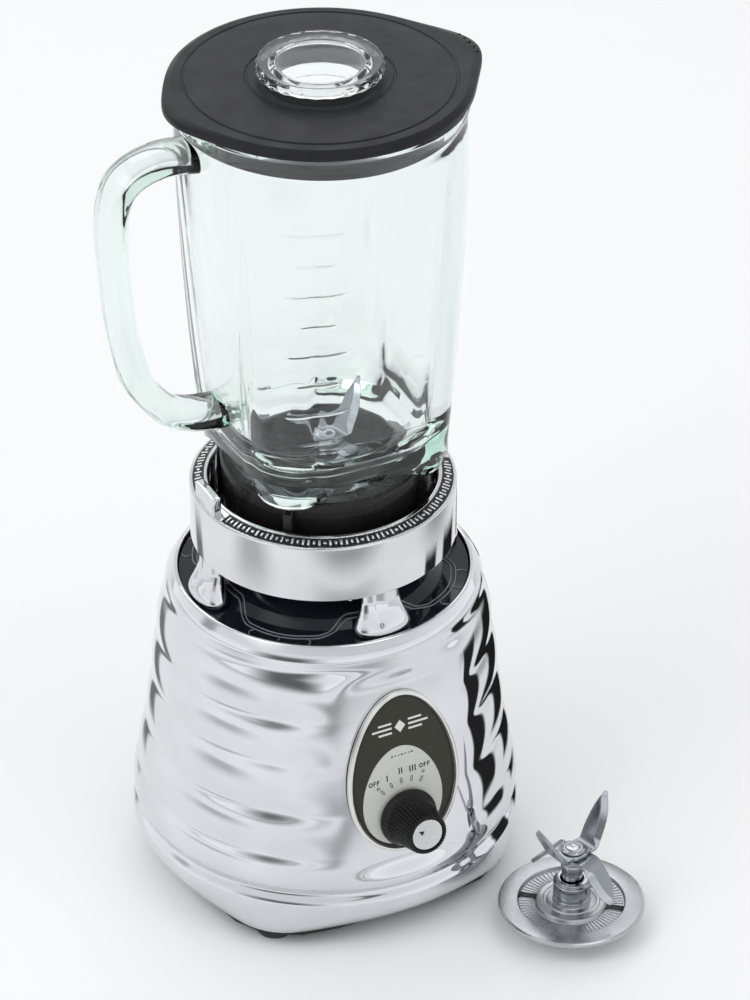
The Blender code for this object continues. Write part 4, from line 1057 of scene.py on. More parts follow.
class KITCHEN_OT_collar_ring(bpy.types.Operator):
    """Build the collar ring with its legs, ears, inner ribs and black hatched band"""

    bl_idname = "kitchen.collar_ring"
    bl_label = "Collar Ring"

    def execute(self, context):
        shells = [turned(ring_wall(), 256)] + [leg_shell(a) for a in QUARTERS]
        shells += ring_ribs() + ring_curls() + ring_ears()
        gap = math.radians(13)
        spans = [(math.pi + gap, 2 * math.pi - gap), (gap, math.pi - gap)]
        for start, end in spans:
            shells.append((*band_shell(start, end), 1))
            shells += [(*mark, 2) for mark in band_marks(start + 0.02, end - 0.02)]
        finishes = ["cast_plating", "band_black", "raised_plating"]
        assemble("collar_ring_plated", shells, finishes, "base", ["collar_ring"], sharp=40.0)
        for letter in "abcd":
            repaint("collar_screw_" + letter, "zinc_plate")
        return {"FINISHED"}


def repaint(node, key):
    """Give a solid of the frame its finish and leave its shape alone."""
    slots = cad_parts[node].material_slots
    for place in slots:
        place.material = finish(key)
    if not len(slots):
        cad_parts[node].data.materials.append(finish(key))


# ---- control panel and knob -------------------------------------------------------------------
def bar_mark(x0, y0, x1, y1, wide, low, high):
    """A straight printed stroke between two points of the panel."""
    start, end = np.array((x0, y0)), np.array((x1, y1))
    along = (end - start) / np.linalg.norm(end - start)
    side = np.array((-along[1], along[0])) * wide / 2
    corners = [(*p, wide * 0.2) for p in (start - side, end - side, end + side, start + side)]
    return slab(rounded(corners, 2), low, high, 0.00004, 1)


def ring_mark(x, y, width, height, line, low, high, turn=0.0):
    """An open oval stroke."""
    outer = oval(width, height, x, y, turn, 32)
    inner = oval(width - 2 * line, height - 2 * line, x, y, turn, 32)
    stations = ((outer, low), (outer, high), (inner, high), (inner, low))
    return web([level_row(edge, z) for edge, z in stations], loop_rows=True)


def off_word(x, y, size, low, high):
    """The word for the switched-off position, in plain strokes."""
    line, shells = size * 0.20, []
    shells.append(ring_mark(x - size * 0.85, y, size * 0.86, size, line, low, high))
    arm = y + size / 2 - line / 2
    for left in (x - size * 0.16, x + size * 0.62):
        for stroke in ((left, y - size / 2, left, y + size / 2),
                       (left - line / 2, arm, left + size * 0.52, arm),
                       (left, y + size * 0.03, left + size * 0.42, y + size * 0.03)):
            shells.append(bar_mark(*stroke, line, low, high))
    return shells


def switch_marks(low, high):
    """Marks on an arc above the knob: off, one, two and three strokes, off."""
    shells = []
    centre = np.array((0.0, -KNOB_DROP))
    for angle in (-36, -20, -4, 12, 28):
        a = math.radians(angle)
        tick = centre + 0.0179 * np.array((math.sin(a), math.cos(a)))
        shells.append(ring_mark(tick[0], tick[1], 0.0012, 0.0029, 0.00028, low, high, -a))
    for strokes, x, y in ((1, -0.0079, -0.0015), (2, -0.0013, 0.0005), (3, 0.0046, 0.0001)):
        for i in range(strokes):
            at = x + (i - (strokes - 1) / 2) * 0.00125
            shells.append(bar_mark(at, y - 0.0015, at, y + 0.0015, 0.00058, low, high))
    for word, ring in (((-0.0141, -0.0024), (-0.0125, -0.0053)),
                       ((0.0106, 0.0001), (0.0095, -0.0030))):
        shells += off_word(*word, 0.0022, low, high)
        shells.append(ring_mark(*ring, 0.0015, 0.0015, 0.0003, low, high))
    return shells


def plain_ornament(low, high):
    """Generic ornament in the upper field: three level lines of different length and a lozenge."""
    shells = []
    for y, half in ((0.0245, 0.0105), (0.0222, 0.0135), (0.0199, 0.0105)):
        for side in (-1, 1):
            shells.append(bar_mark(side * 0.0040, y, side * half, y, 0.00095, low, high))
    lozenge = [(0.0, 0.0252), (0.0026, 0.0222), (0.0, 0.0192), (-0.0026, 0.0222)]
    shells.append(slab(np.array(lozenge), low, high, 0.00005, 1))
    return shells


def small_ornament(low, high):
    """A dotted line on the silver field."""
    return [slab(oval(0.0007 if i % 3 else 0.0013, 0.0007, -0.0048 + i * 0.0016, 0.0083), low, high,
                 0.00004, 1)
            for i in range(7)]


class KITCHEN_OT_panel(bpy.types.Operator):
    """Build the oval control panel with its pale rim, dark field, silver field and switch marks"""

    bl_idname = "kitchen.panel"
    bl_label = "Control Panel"

    def execute(self, context):
        place = panel_place()
        top = 0.0028
        section = rounded([(0.0, 0.0003)] + near(0, top, (0, -0.6, 0.6), (0.9, 0, 0.8))
                          + near(PANEL_RIM, top, (-0.8, 0, 0.5),
                                 (0, -1, 0.3)) + [(PANEL_RIM, 0.0003)], 5)
        rows = [level_row(egg(i), z) for i, z in section]
        seam = [level_row(egg(PANEL_RIM + i), z) for i, z in
                ((-0.0001, 0.0017), (-0.0001, 0.00205), (0.00035, 0.00205), (0.00035, 0.0017))]
        shells = [(*web(rows, loop_rows=True), 0), (*web(seam, loop_rows=True), 1)]
        assemble("panel_rim_satin", shells, ["rim_satin", "band_black"], "base",
                 ["panel_rim"], place)
        field = slab(egg(PANEL_RIM + 0.0001), 0.0003, 0.0018, 0.0001, 2)
        silver = egg(PANEL_RIM)
        silver = np.column_stack([silver[:, 0] * 0.79 - 0.0011, silver[:, 1] * 0.65 - 0.0113])
        marks = [(*shell, 2) for shell in switch_marks(0.0018,
                                                       0.00194) + small_ornament(0.0018, 0.00192)]
        bright = [(*shell, 3) for shell in plain_ornament(0.0017, 0.00190)]
        shells = [(*field, 0), (*slab(silver, 0.0016, 0.00188, 0.00008, 2), 1)] + marks + bright
        finishes = ["panel_olive", "panel_silver", "band_black", "panel_cream"]
        assemble("panel_face_printed", shells, finishes, "base", ["panel_face"], place)
        for node, key in (("switch_body", "moulded_inner"), ("switch_nut", "sheet_brass"),
                          ("switch_shaft", "zinc_plate")):
            repaint(node, key)
        return {"FINISHED"}


def knob_shell(ribs):
    foot, end = KNOB_FOOT, KNOB_END
    skirt = profile([(3.3, 4), (8.8, 4), (8.8, 0), (13.4, 0, 0.6), (13.4, 1.8, 0.7),
                     (11.9, 3.6, 1)], foot, 4, False)
    sides = np.column_stack([np.linspace(0.01185, 0.00945, 14),
                             np.linspace(foot + 0.0042, end - 0.0011, 14)])
    front = profile([(9.45, -1.1), (9.2, -0.2, 0.4), (8.5, 0, 0.3), (7.75, 0, 0.2), (7.6, -1.2),
                     (3.3, -1.2)], end, 3, False)
    line = np.vstack([skirt, sides, front])

    def grip(angles, r, z):
        wave = (0.5 + 0.5 * np.cos(ribs * angles)) ** 0.6
        depth = 0.00055 * ease(foot + 0.0026, foot + 0.0046,
                               z) * (r > 0.0087) * (1 - ease(end - 0.0003, end, z))
        return r - depth * (1 - wave), z

    return turned(line, ribs * 12, grip)


class KITCHEN_OT_knob(bpy.types.Operator):
    """Build the ribbed knob with its satin disc and pointer"""

    bl_idname = "kitchen.knob"
    bl_label = "Knob"

    def execute(self, context):
        settings = context.scene.blender_base
        place = panel_place(KNOB_DROP)
        assemble("knob_ribbed", [knob_shell(settings.knob_ribs)], ["knob_black"], "switch_knob",
                 ["knob"], place, sharp=38.0)
        end = KNOB_END
        disc = turned(profile([(0, -0.9), (7.25, -0.9), (7.25, -0.35, 0.3), (6.8, -0.1, 0.2),
                               (0, -0.2)], end, 4, False), 96, closed=False)
        a = settings.knob_rest
        way, side = np.array((-math.sin(a), math.cos(a))), np.array((math.cos(a), math.sin(a)))
        corners = [way * 0.0052, way * 0.0024 - side * 0.00115, way * 0.0024 + side * 0.00115]
        pointer = slab(rounded([(*c, 0.0002) for c in corners], 2), end - 0.0004, end - 0.00005,
                       0.00004, 1)
        assemble("knob_disc", [(*disc, 0), (*pointer, 1)], ["insert_satin", "band_black"],
                 "switch_knob", ["knob_insert"], place)
        return {"FINISHED"}


# ---- underside, inlet and motor ---------------------------------------------------------------
class KITCHEN_OT_underside(bpy.types.Operator):
    """Build the rubber feet and the cord inlet, and finish the bottom cover and its screws"""

    bl_idname = "kitchen.underside"
    bl_label = "Feet, Cover and Inlet"

    def execute(self, context):
        for letter in "abcd":
            low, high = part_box("foot_" + letter)
            at = (low + high) * 0.5
            line = rounded(near(0, low.z, (0, 0.6), (4.5, 0.6, 0.4), (5.2, 0, 0.3), (8, 0, 0.8))
                           + near(0, 0, (9.2, -2, 1), (9, -0.3, 0.3), (2.7, -0.3), (2.7, 2.8),
                                  (3.6, 3.5))
                           + near(0, high.z, (2, 0), (0, 0)), 4, False)
            foot = turned(line, 64, closed=False)
            assemble("foot_" + letter + "_rubber", [moved(foot, at.x, at.y)], ["foot_rubber"],
                     "base", ["foot_" + letter])
            repaint("cover_screw_" + letter, "zinc_plate")
        repaint("bottom_cover", "cover_black")
        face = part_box("cord_inlet")[1].y - 0.0028
        line = profile([(4.5, -8.6), (7.2, -8.6, 0.4), (5.4, -6.4), (5.4, 0, 0.2), (8, 0, 0.3),
                        (7.9, 1.4, 0.7), (6.4, 2.2, 0.5), (6, 2.8, 0.3), (4.6, 2.8, 0.4)], 0, 4)
        place = Matrix.Translation((0, face, 0.0365)) @ Matrix.Rotation(-math.pi / 2, 4, "X")
        assemble("inlet_bush", [turned(line, 64)], ["foot_rubber"], "base", ["cord_inlet"], place)
        return {"FINISHED"}


MOTOR_FINISHES = (
    ("stator", "iron_stack"), ("field_coil_a", "copper_wire"), ("field_coil_b", "copper_wire"),
    ("lower_bracket", "cast_alloy"), ("upper_bracket", "cast_alloy"),
                  ("lower_bearing", "zinc_plate"),
    ("upper_bearing", "zinc_plate"), ("brush_holder_a", "sheet_brass"),
                  ("brush_holder_b", "sheet_brass"),
    ("brush_a", "carbon_block"), ("brush_b", "carbon_block"), ("motor_bolt_a", "zinc_plate"),
    ("motor_bolt_b", "zinc_plate"), ("motor_shaft", "stud_steel"), ("rotor_core", "iron_stack"),
    ("commutator", "copper_bars"), ("cooling_fan", "moulded_inner"))


class KITCHEN_OT_motor(bpy.types.Operator):
    """Give the hidden parts of the motor their finishes"""

    bl_idname = "kitchen.motor"
    bl_label = "Motor Finishes"

    def execute(self, context):
        for node, key in MOTOR_FINISHES:
            repaint(node, key)
        return {"FINISHED"}


class KITCHEN_OT_drive(bpy.types.Operator):
    """Build the domed slinger disc and the square drive stud"""

    bl_idname = "kitchen.drive"
    bl_label = "Drive Stud"

    def execute(self, context):
        foot = RING_LOW + 0.0031
        disc = foot - 0.0003
        line = profile([(4.3, -4.2), (15, -4, 0.5), (17, -3.4, 0.5), (17, -2.4, 0.6),
                        (14, -1.2, 0.6), (13.8, -1.6, 0.2), (13, -1.4, 0.2), (12.6, -0.8, 0.6),
                        (7, 0, 1), (4.3, 0, 0.3)], disc, 5)
        assemble("slinger_domed", [turned(line, 128)], ["slinger_grey"], "rotor", ["slinger_disc"])
        hexagon = [(0.0062 * math.cos(math.pi / 3 * i), 0.0062 * math.sin(math.pi / 3 * i),
                    0.0004) for i in range(6)]
        nut = slab(rounded(hexagon, 4), foot, foot + 0.0024, 0.0004)
        square = [(x * 0.0039, y * 0.0039, 0.0009) for x, y in ((-1, -1), (1, -1), (1, 1), (-1, 1))]
        outline = rounded(square, 5)
        rows = []
        for z, share in ((0.0012, 1), (0.0080, 1), (0.0081, 0.985), (0.0085, 0.985), (0.0086, 1),
                         (0.0128, 1), (0.0136, 0.95), (0.0146, 0.68), (0.0149, 0.45),
                         (0.0150, 0.1)):
            rows.append(level_row(outline * share, foot + z))
        assemble("drive_stud_square", [nut, web(rows)], ["stud_steel"], "rotor", ["drive_stud"])
        return {"FINISHED"}


# ---- foot of the jar --------------------------------------------------------------------------
class KITCHEN_OT_bottom_cap(bpy.types.Operator):
    """Build the black screwed bottom cap with its four ribs, and the sealing ring"""

    bl_idname = "kitchen.bottom_cap"
    bl_label = "Bottom Cap"

    def execute(self, context):
        low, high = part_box("bottom_cap")[0].z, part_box("bottom_cap")[1].z
        floor = FLANGE_TOP - 0.0023
        line = rounded(near(0, low, (41.2, 0, 0.4), (42, 1, 0.8))
                       + near(0, LEDGE_TOP, (42.4, -0.6, 1), (42.6, 0.4, 0.5))
                       + near(0, high, (44.5, -1.2, 1), (43.6, 0, 0.8), (36.1, 0, 0.4),
                              (35.5, -0.8, 0.5))
                       + near(0, floor, (35.5, 0, 1), (27.5, 0, 0.4), (27.5, -3, 0.4),
                              (38, -3, 1.2), (38.6, -4.2, 1))
                       + near(0, low, (39, 0, 0.5)), 5)
        shells = [turned(line, 192)]
        for angle in QUARTERS:
            shells.append(moved(self.rib(high), turn=angle + math.pi / 4))
        for i in range(24):
            bar = boxed(0.0281, 0.0366, -0.0004, 0.0004, floor - 0.0036, floor - 0.0026, 0.0002)
            shells.append(moved(bar, turn=math.pi * 2 * (i + 0.5) / 24))
        assemble("bottom_cap_black", shells, ["cap_black"], "jar_base", ["bottom_cap"], sharp=40.0)
        z = FLANGE_TOP + 0.0003
        ring = turned(profile([(26.2, 0, 0.5), (33.2, 0, 0.5), (33.2, 2, 0.5), (26.2, 2, 0.5)], z,
                              4), 96)
        assemble("jar_gasket_ring", [ring], ["gasket_rubber"], "jar_base", ["jar_gasket"])
        return {"FINISHED"}

    def rib(self, high):
        """One upright rib, a little wider at its foot, with a sloped head."""
        rows = []
        foot = LEDGE_TOP + 0.0003
        stations = near(foot, 0.0, (0, 47, 2.1), (0.5, 47.9, 2.6), (3, 48.2, 2.6), (20, 48.3, 2.4))
        stations += near(high, 0.0, (-7, 48.3, 2.2), (-4.5, 48, 2.1), (-3, 46.2, 1.8))
        for z, reach, half in stations:
            rows.append(level_row(oblong(0.0400, reach, half, 0.0002, 0.0012), z))
        return web(rows)


# ---- cutter sets ------------------------------------------------------------------------------
LONG_ARM, LOW_ARM = math.radians(12), math.radians(-66)
BLADE_Z = 0.0241
HUB_REACH = 0.0087


def flange_shells():
    """Satin flange, knurled recess, stepped disc and polished hub. Heights from the flange top."""
    flange = profile([(7.4, -11.9, 0.3), (11.5, -11.9, 0.6), (11.5, -4.4, 1), (23, -3.7, 0.5),
                      (24.5, -2, 0.6), (32.5, -2, 0.4), (32.5, -0.6, 0.4), (31.9, -0.2, 0.3),
                      (31.6, 0, 0.2), (24, 0, 0.4), (23.4, -1.6, 0.4), (16.2, -1.6, 0.4),
                      (15.5, 0.1, 0.4), (14.8, 0.3, 0.3), (12.8, 0.2, 0.2), (12.4, -0.2, 0.2),
                      (11.2, -0.2, 0.2), (10.8, 0.4, 0.3), (8.6, 0.5, 0.6)], 0, 4, False)
    hub = profile([(8.6, 0.5), (8.35, 1.2, 0.4), (8.35, 2.8, 0.2), (8.15, 3, 0.1), (8.15, 3.3, 0.1),
                   (8.35, 3.5, 0.2), (8.35, 11, 0.6), (7.4, 11.2, 0.3), (7.4, 12.5, 0.4),
                   (5.2, 12.5, 0.3), (5.2, 0.7), (7.4, 0.1)], 0, 4, False)
    shells = []
    whole = np.vstack([flange, hub[1:]])
    points, faces = turned(whole, 160)
    inner = {i for i, (x, y, z) in enumerate(points) if math.hypot(x, y) < HUB_REACH and z > 0}
    shells.append((points, [f for f in faces if not inner.issuperset(f)], 0))
    shells.append((points, [f for f in faces if inner.issuperset(f)], 1))
    for i in range(72):
        bar = boxed(0.0166, 0.0231, -0.00022, 0.00022, -0.0020, -0.00125, 0.00015)
        shells.append((*moved(bar, turn=2 * math.pi * i / 72), 0))
    for angle in (math.radians(-40), math.radians(140)):
        slot = boxed(0.0154, 0.0238, -0.0016, 0.0016, -0.0018, -0.00095, 0.0002)
        shells.append((*moved(slot, turn=angle), 2))
    return shells


def shaft_mesh(joined):
    """Shaft with an eight-pointed socket. A joined shaft carries the washers under the blades."""
    end = -11.6 if joined else -13.6
    core = near(0, 0, (0, end), (6.4, end, 0.3), (7, end + 0.6, 0.3), (7, -0.7, 0.4), (3.5, -0.3))
    core += (stack_line() if joined else []) + near(0, 0, (3.5, 27.6), (0, 27.6))
    star = []
    for i in range(16):
        a = 2 * math.pi * (i + 0.5) / 16
        reach = 0.0042 * (1.0 / math.cos(math.pi / 8) if i % 2 else 1.34)
        star.append((reach * math.cos(a), reach * math.sin(a)))
    tool = slab(np.array(star), -0.020, -0.0021, 0.00005, 1)
    return carved(turned(rounded(core, 4, False), 72, closed=False), "DIFFERENCE", tool,
                  "hub_steel")


def stack_line():
    """Washers between the hub and the blades."""
    return near(0, 0, (3.5, 13), (4.7, 13, 0.3), (4.7, 14.6, 0.1), (4.4, 14.8), (4.4, 15),
                (4.7, 15.2, 0.1), (4.7, 19, 0.2), (5.2, 19.4, 0.2), (5.2, 21.3, 0.3), (4.8, 21.5),
                (4.8, 21.7), (5.2, 21.9, 0.3), (5.2, 23.8, 0.3), (3.5, 23.8))


# share of the arm, spine and cutting edge across it in millimetres
ARM_SHAPES = {
    "long": ((0, 5.4, -5.4), (0.3, 5.6, -5.2), (0.55, 5.0, -4.6), (0.75, 4.0, -3.0),
             (0.9, 2.7, -0.6), (1, 1.4, 1.2)),
    "short": ((0, 5.4, -5.4), (0.4, 5.0, -5.4), (0.7, 3.4, -5.0), (0.88, 1.0, -3.6),
              (1, -1.8, -2.0)),
    "low": ((0, 5.4, -5.4), (0.35, 5.6, -5.8), (0.65, 4.6, -5.6), (0.88, 1.6, -4.2),
            (1, -2.0, -2.4)),
}


def arm_shells(shape, reach, rise, side, sheet, bevel):
    """One blade arm from the middle plate to its tip, with a ground edge on one side."""
    bend = 0.0095
    line = rounded([(0.0030, 0.0), (bend, 0.0, 0.0035), (reach, rise)], 10, False)
    run = run_along(line)
    spots = np.concatenate([np.linspace(0, 0.99, 34), [1.0]]) * run[-1]
    at = np.column_stack([np.interp(spots, run, line[:, k]) for k in (0, 1)])
    normal = side_of(at)
    start = run[-1] - math.hypot(reach - bend, rise)
    share = np.clip((spots - start) / (run[-1] - start), 0, 1)
    table = np.array(ARM_SHAPES[shape])
    spine, edge = (np.interp(share, table[:, 0], table[:, k]) * MM for k in (1, 2))
    for values in (spine, edge):
        values[2:-2] = (values[:-4] + values[1:-3] + values[2:-2] + values[3:-1] + values[4:]) / 5
    ground = bevel * ease(0.02, 0.22, share)
    ground = np.minimum(ground, np.abs(spine - edge) * 0.7)
    body, strip = [], []
    for p, n, s, e, g in zip(at, normal, spine, edge, ground):
        def spot(across, lift):
            q = p + n * lift
            return (side * q[0], side * across, q[1])
        thin = sheet * (0.18 if g > 0.0002 else 0.9)
        body.append([spot(e, 0), spot(s, 0), spot(s - 0.0001, sheet * 0.85),
                     spot(s - 0.0003, sheet),
                     spot(e + g + 0.0001, sheet), spot(e, thin)])
        strip.append([spot(e + g + 0.0003, sheet + 0.00001), spot(e + g, sheet + 0.00004),
                      spot(e + 0.00002, thin + 0.00004),
                      spot(e + 0.0002, thin)])
    return [(*web(body), 0), (*web(strip), 1)]


def blade_shells(arms, sheet, bevel):
    """Middle plate with cut corners, and two arms."""
    angles = [math.pi / 8 + math.pi / 4 * i for i in range(8)]
    corners = [(0.0071 * math.cos(a), 0.0071 * math.sin(a), 0.0006) for a in angles]
    shells = [(*slab(rounded(corners, 3), -0.00003, sheet + 0.00003, 0.0002), 0)]
    for side, (shape, reach, rise) in zip((1, -1), arms):
        shells += arm_shells(shape, reach, rise, side, sheet, bevel)
    return shells


def rivet_shell():
    line = profile([(0, 0), (5.4, 0, 0.1), (5.4, 0.7, 0.4), (4.4, 1.2, 0.3), (4, 1, 0.2),
                    (3.4, 1, 0.2), (3.1, 1.7, 0.4), (1.2, 1.8, 0.3), (0, 1.5)], 0, 4, False)
    return turned(line, 72, closed=False)


class KITCHEN_OT_cutters(bpy.types.Operator):
    """Build the cutter in the jar and the loose spare cutter on the counter"""

    bl_idname = "kitchen.cutters"
    bl_label = "Cutter Sets"

    def execute(self, context):
        settings = context.scene.blender_cutter
        sets = (("cutter_", "jar_base", "cutter", (0.0, 0.0), 0.0),
                ("spare_", "spare_base", "spare_cutter", SPARE_AT, SPARE_DROP))
        for prefix, holder, spinning, at, drop in sets:
            place = Matrix.Translation((at[0], at[1], FLANGE_TOP - drop))
            self.build(prefix, holder, spinning, place, settings)
        z = FLANGE_TOP
        bush = turned(profile([(3.8, 1.2, 0.2), (4.9, 1.2, 0.2), (4.9, 12.2, 0.2),
                               (3.8, 12.2, 0.2)], z, 3), 48)
        assemble("cutter_bush_bronze", [bush], ["bush_bronze"], "jar_base", ["cutter_bush"])
        stack = turned(rounded([(0.0038, 0.0130)] + stack_line()[1:-1] + [(0.0038, 0.0238)], 4), 72)
        assemble("cutter_spacer_turned", [stack], ["flange_steel"], "cutter", ["cutter_spacer"],
                 Matrix.Translation((0, 0, z)))
        return {"FINISHED"}

    def build(self, prefix, holder, spinning, place, settings):
        looks = ["flange_steel", "hub_steel", "band_black"]
        assemble(prefix + "housing_turned", flange_shells(), looks, holder, [prefix + "housing"],
                 place, sharp=38.0)
        mesh = shaft_mesh(prefix == "spare_")
        settle(prefix + "shaft_turned", mesh, spinning, [prefix + "shaft"], place, 38.0)
        looks = ["blade_steel", "ground_edge"]
        for name, lift, turn, arms in (
                ("blade_lower", BLADE_Z, LOW_ARM, (("low", 0.0225, -0.0150),
                                                   ("low", 0.0225, -0.0150))),
                ("blade_upper", BLADE_Z + 0.0019, LONG_ARM,
                 (("long", 0.0205, 0.0235), ("short", 0.0200, 0.0195)))):
            spot = place @ Matrix.Translation((0, 0, lift)) @ Matrix.Rotation(turn, 4, "Z")
            assemble(prefix + name + "_ground", blade_shells(arms, settings.sheet, settings.bevel),
                     looks, spinning,
                     [prefix + name], spot, sharp=28.0)
        assemble(prefix + "rivet_head", [rivet_shell()], ["hub_steel"], spinning,
                 [prefix + "rivet"],
                 place @ Matrix.Translation((0, 0, BLADE_Z + 0.0038)))


# ---- glass jar, lid and feeder cap ------------------------------------------------------------
def spout_share(angle, wide=0.30):
    return np.exp(-((away_from(angle, 0.0) / wide) ** 2))


OUTER_LINE = ((0.055, 0.05, 4.2), (0.16, 0.17, 3.9), (0.33, 0.37, 3.5), (0.53, 0.57, 3.1),
              (0.73, 0.77, 2.7), (0.885, 0.93, 2.25), (0.943, 1.0, 2.0))
MARK_HEIGHTS = [0.20 + 0.085 * i for i in range(8)]


def smooth_line(share, column):
    """A soft curve through a column of the outer line."""
    table = np.array(OUTER_LINE)
    fine = np.linspace(table[0, 0], table[-1, 0], 200)
    values = np.interp(fine, table[:, 0], table[:, column])
    kernel = np.ones(25) / 25
    padded = np.concatenate([np.full(12, 2 * values[0]) - values[12:0:-1], values,
                             np.full(12, 2 * values[-1]) - values[-2:-14:-1]])
    return np.interp(share, fine, np.convolve(padded, kernel, "valid"))


def jar_shell(wall, flute, count=224):
    """Rounded-square jar: neck, corner feet, fluted walls, measure marks, spout and inside."""
    a = full_turn(count)
    rows = []

    def level(r, z, power=2.0, lip=0.0, bump=0.0):
        rows.append(around(r * squared(a, power) + lip * SPOUT * spout_share(a) + bump, a, z))

    low, foot = FLANGE_TOP + 0.0026, JAR_FOOT
    corner = ease(1.05, 1.18, squared(a, 4.2))
    for r, z in rounded([(JAR_BORE, low), (JAR_NECK, low, 0.0008),
                         (JAR_NECK, foot + 0.0012, 0.0008), (0.0372, foot + 0.0026, 0.0020)], 5,
                        False)[1:]:
        level(r, z)
    for share in (0.25, 0.5, 0.75, 0.9, 1.0):
        r = 0.0372 + (JAR_HALF * squared(a, 4.2) - 0.0372) * share
        drop = (foot + 0.0026) + (0.0034 - 0.0055 * corner) * (share ** 1.5)
        rows.append(around(r - 0.0012 * (share == 1.0), a, drop))
    shares = set(np.round(np.linspace(0.055, 0.943, 74), 4))
    for mark in MARK_HEIGHTS:
        shares |= set(np.round(mark + np.array((-0.0060, -0.0042, -0.0024, -0.0008, 0.0008, 0.0024,
                                                0.0042, 0.0060)), 4))
    off_corner = away_from(4 * a, math.pi) / 4
    flutes = np.exp(-((off_corner - math.radians(15)) / math.radians(3.6)) ** 2)
    front = away_from(a, math.radians(-118))
    for share in sorted(shares):
        half = JAR_HALF + JAR_FLARE * smooth_line(share, 1)
        deep = flute * float(ease(0.06, 0.16, share) * (1 - ease(0.70, 0.90, share)))
        bump = -deep * flutes
        for k, mark in enumerate(MARK_HEIGHTS):
            long = math.radians(11 if k % 2 else 6.5)
            ridge = 0.00042 * math.exp(-((share - mark) / 0.0030) ** 2)
            bump = bump + ridge * (1 - ease(long, long + 0.03, front))
        level(half, foot + JAR_RISE * share, smooth_line(share, 2),
              0.35 * float(ease(0.80, 0.943, share)), bump)
    mouth = near(0, 0, (60.5, -10), (62, -6.2, 1.6), (62, -2.6, 1.6), (60.3, 0, 1.8),
                 (56.9, 0, 1.8), (56.2, -6.2, 2), (55.8, -10))
    for r, z in rounded(mouth, 6, False)[1:-1]:
        level(r, JAR_TOP + z, 2.0, float(0.35 + 0.65 * ease(-0.0100, -0.0030, z)))
    for share in np.linspace(0.930, 0.16, 60):
        half = JAR_HALF + JAR_FLARE * smooth_line(share, 1)
        power = max(2.05, smooth_line(share, 2) - 0.1)
        level(half - wall, foot + JAR_RISE * share - 0.001, power,
              0.30 * float(ease(0.85, 0.943, share)))
    for r, z, power in ((41.2, 21.5, 3.6), (40.0, 17.5, 3.4), (37.8, 13.8, 3.1), (35.2, 10.8, 2.7),
                        (32.2, 8.0, 2.3), (30.3, 5.8, 2.1), (JAR_BORE / MM, 3.4, 2.0)):
        level(r * MM, foot + z * MM, power)
    level(JAR_BORE, low)
    return web(rows, loop_rows=True)


# distance from the axis in millimetres, share of the jar's height
HANDLE_SPOTS = ((57.0, 0.900), (62.0, 0.906), (70.5, 0.915), (85.0, 0.900), (93.0, 0.868),
                (95.5, 0.800), (96.0, 0.70), (93.5, 0.50), (87.0, 0.32), (73.0, 0.215),
                (60.0, 0.190), (51.5, 0.185), (46.1, 0.185))


def handle_shell(grip):
    """The glass handle on the far side of the spout, as a bent bar of rounded section."""
    line = np.array(HANDLE_SPOTS) * (MM, JAR_RISE) + (0, JAR_FOOT)
    run = run_along(line)
    fine = np.linspace(0, run[-1], 90)
    path = np.column_stack([np.interp(fine, run, line[:, k]) for k in (0, 1)])
    for _ in range(14):
        path[1:-1] = 0.25 * path[:-2] + 0.5 * path[1:-1] + 0.25 * path[2:]
    side = side_of(path)
    t = full_turn(40)
    rows = []
    for i, (p, s) in enumerate(zip(path, side)):
        share = i / (len(path) - 1)
        swell = 1.0 - 0.10 * math.sin(math.pi * share) ** 2
        r = squared(t + 0.03, 2.6)
        across = grip * swell * r * np.cos(t + 0.03)
        rows.append(np.column_stack([-(p[0] + s[0] * across), 0.0095 * swell * r * np.sin(t + 0.03),
                                     p[1] + s[1] * across]))
    return web(rows)


class KITCHEN_OT_jar(bpy.types.Operator):
    """Build the pressed glass jar with its handle, flutes, measure marks and spout"""

    bl_idname = "kitchen.jar"
    bl_label = "Glass Jar"

    def execute(self, context):
        settings = context.scene.blender_jar
        shell = jar_shell(settings.wall, settings.flute_depth)
        mesh = carved(shell, "UNION", handle_shell(settings.handle_grip), "jar_glass")
        settle("jar_pressed", mesh, "jar", ["jar_glass"], None, 60.0)
        return {"FINISHED"}


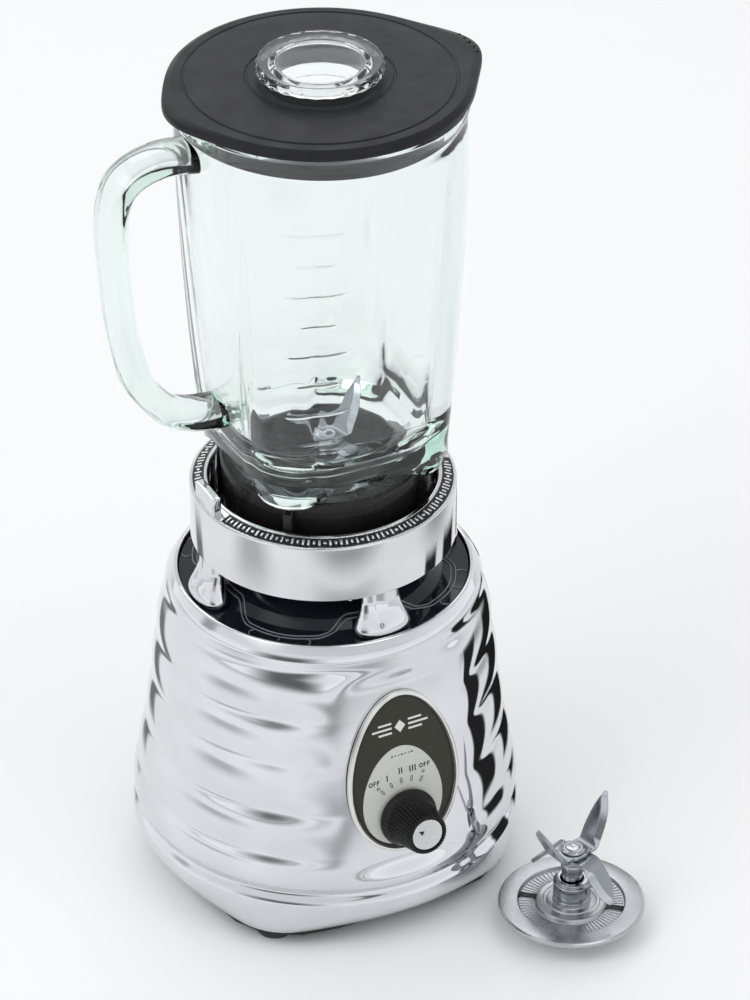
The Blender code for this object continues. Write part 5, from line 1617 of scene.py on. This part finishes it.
class KITCHEN_OT_lid(bpy.types.Operator):
    """Build the black lid with its finger tabs, and the clear feeder cap"""

    bl_idname = "kitchen.lid"
    bl_label = "Lid and Feeder Cap"

    def execute(self, context):
        z = JAR_TOP + 0.0003
        line = profile([(22, -2, 0.3), (22, 7.7, 0.3), (25, 7.7, 0.5), (25.8, 5.2, 1), (30, 5, 0.3),
                        (30.3, 4.6, 0.2), (31.2, 4.6, 0.2), (31.5, 5, 0.3), (56, 4.3, 0.6),
                        (56.3, 3.8, 0.2), (57.2, 3.8, 0.2), (57.5, 4.2, 0.3), (61.2, 4, 1),
                        (64, 2.6, 1.2), (64, 0, 0.4), (54.5, 0, 0.8), (54.3, -13, 1),
                        (51.7, -13, 0.6), (51.3, -2, 1)], z, 4)

        def tabs(angles, r, height):
            grow = 1.35 * SPOUT * spout_share(angles) + 0.8 * SPOUT * spout_share(angles + math.pi)
            share = ease(0.0590, 0.0625, r)
            return r + grow * share, height

        shells = [turned(line, 288, tabs)]
        for i in range(5):
            bar = boxed(0.0612, 0.0700, -0.0004, 0.0004, z + 0.0022,
                        z + 0.0040 - 0.0002 * abs(i - 2), 0.0002)
            shells.append(moved(bar, turn=math.radians(3.4 * (i - 2))))
        for height in (0.0040, 0.0078):
            seal = profile([(54, 0, 0.2), (54.75, -0.6, 0.4), (54, -1.2, 0.2), (53.5, -0.6)],
                           z - height, 3)
            shells.append(turned(seal, 160))
        assemble("lid_moulded", shells, ["lid_black"], "lid", ["lid"], sharp=36.0)
        top = z + 0.0080
        cap = profile([(0, 4), (18.5, 4, 0.8), (20.5, 4.4, 0.8), (25.5, 4.4, 0.8), (27, 3, 1.2),
                       (27, 0, 0.5), (21.5, 0, 0.3), (21.1, -18, 0.8), (19.3, -18, 0.4),
                       (19.3, 1.8, 1.2), (0, 2)], top, 5, False)

        def grips(angles, r, height):
            return r - 0.00045 * (0.5 - 0.5 * np.cos(24 * angles)) * (r > 0.0262), height

        assemble("feeder_cap_clear", [turned(cap, 288, grips, closed=False)], ["feeder_clear"],
                 "feeder_cap",
                 ["feeder_cap"], sharp=40.0)
        return {"FINISHED"}


# ---- panel and registration -------------------------------------------------------------------
BUILDERS = (KITCHEN_OT_stage, KITCHEN_OT_housing, KITCHEN_OT_top_plate, KITCHEN_OT_collar_ring,
            KITCHEN_OT_panel, KITCHEN_OT_knob, KITCHEN_OT_underside, KITCHEN_OT_motor,
            KITCHEN_OT_drive,
            KITCHEN_OT_bottom_cap, KITCHEN_OT_cutters, KITCHEN_OT_jar, KITCHEN_OT_lid)
SETTINGS = {"blender_base": BaseSettings, "blender_jar": JarSettings,
            "blender_cutter": CutterSettings, "blender_stage": StageSettings}


class KITCHEN_PT_blender(bpy.types.Panel):
    """Lists the builders of the countertop blender and their settings"""

    bl_label = "Countertop Blender"
    bl_idname = "KITCHEN_PT_blender"
    bl_space_type = "VIEW_3D"
    bl_region_type = "UI"
    bl_category = "Countertop Blender"

    def draw(self, context):
        layout = self.layout
        for builder in BUILDERS:
            layout.operator(builder.bl_idname)
        for key, group in SETTINGS.items():
            box = layout.box()
            for name in group.__annotations__:
                box.prop(getattr(context.scene, key), name)


def register():
    for group in SETTINGS.values():
        bpy.utils.register_class(group)
    for key, group in SETTINGS.items():
        setattr(bpy.types.Scene, key, bpy.props.PointerProperty(type=group))
    for item in BUILDERS + (KITCHEN_PT_blender,):
        bpy.utils.register_class(item)


def unregister():
    for item in (KITCHEN_PT_blender,) + BUILDERS[::-1]:
        bpy.utils.unregister_class(item)
    for key in SETTINGS:
        delattr(bpy.types.Scene, key)
    for group in SETTINGS.values():
        bpy.utils.unregister_class(group)


def main():
    register()
    for builder in BUILDERS:
        group, name = builder.bl_idname.split(".")
        result = getattr(getattr(bpy.ops, group), name)()
        if result != {"FINISHED"}:
            raise RuntimeError(builder.bl_label + " did not finish")


if __name__ == "__main__":
    main()
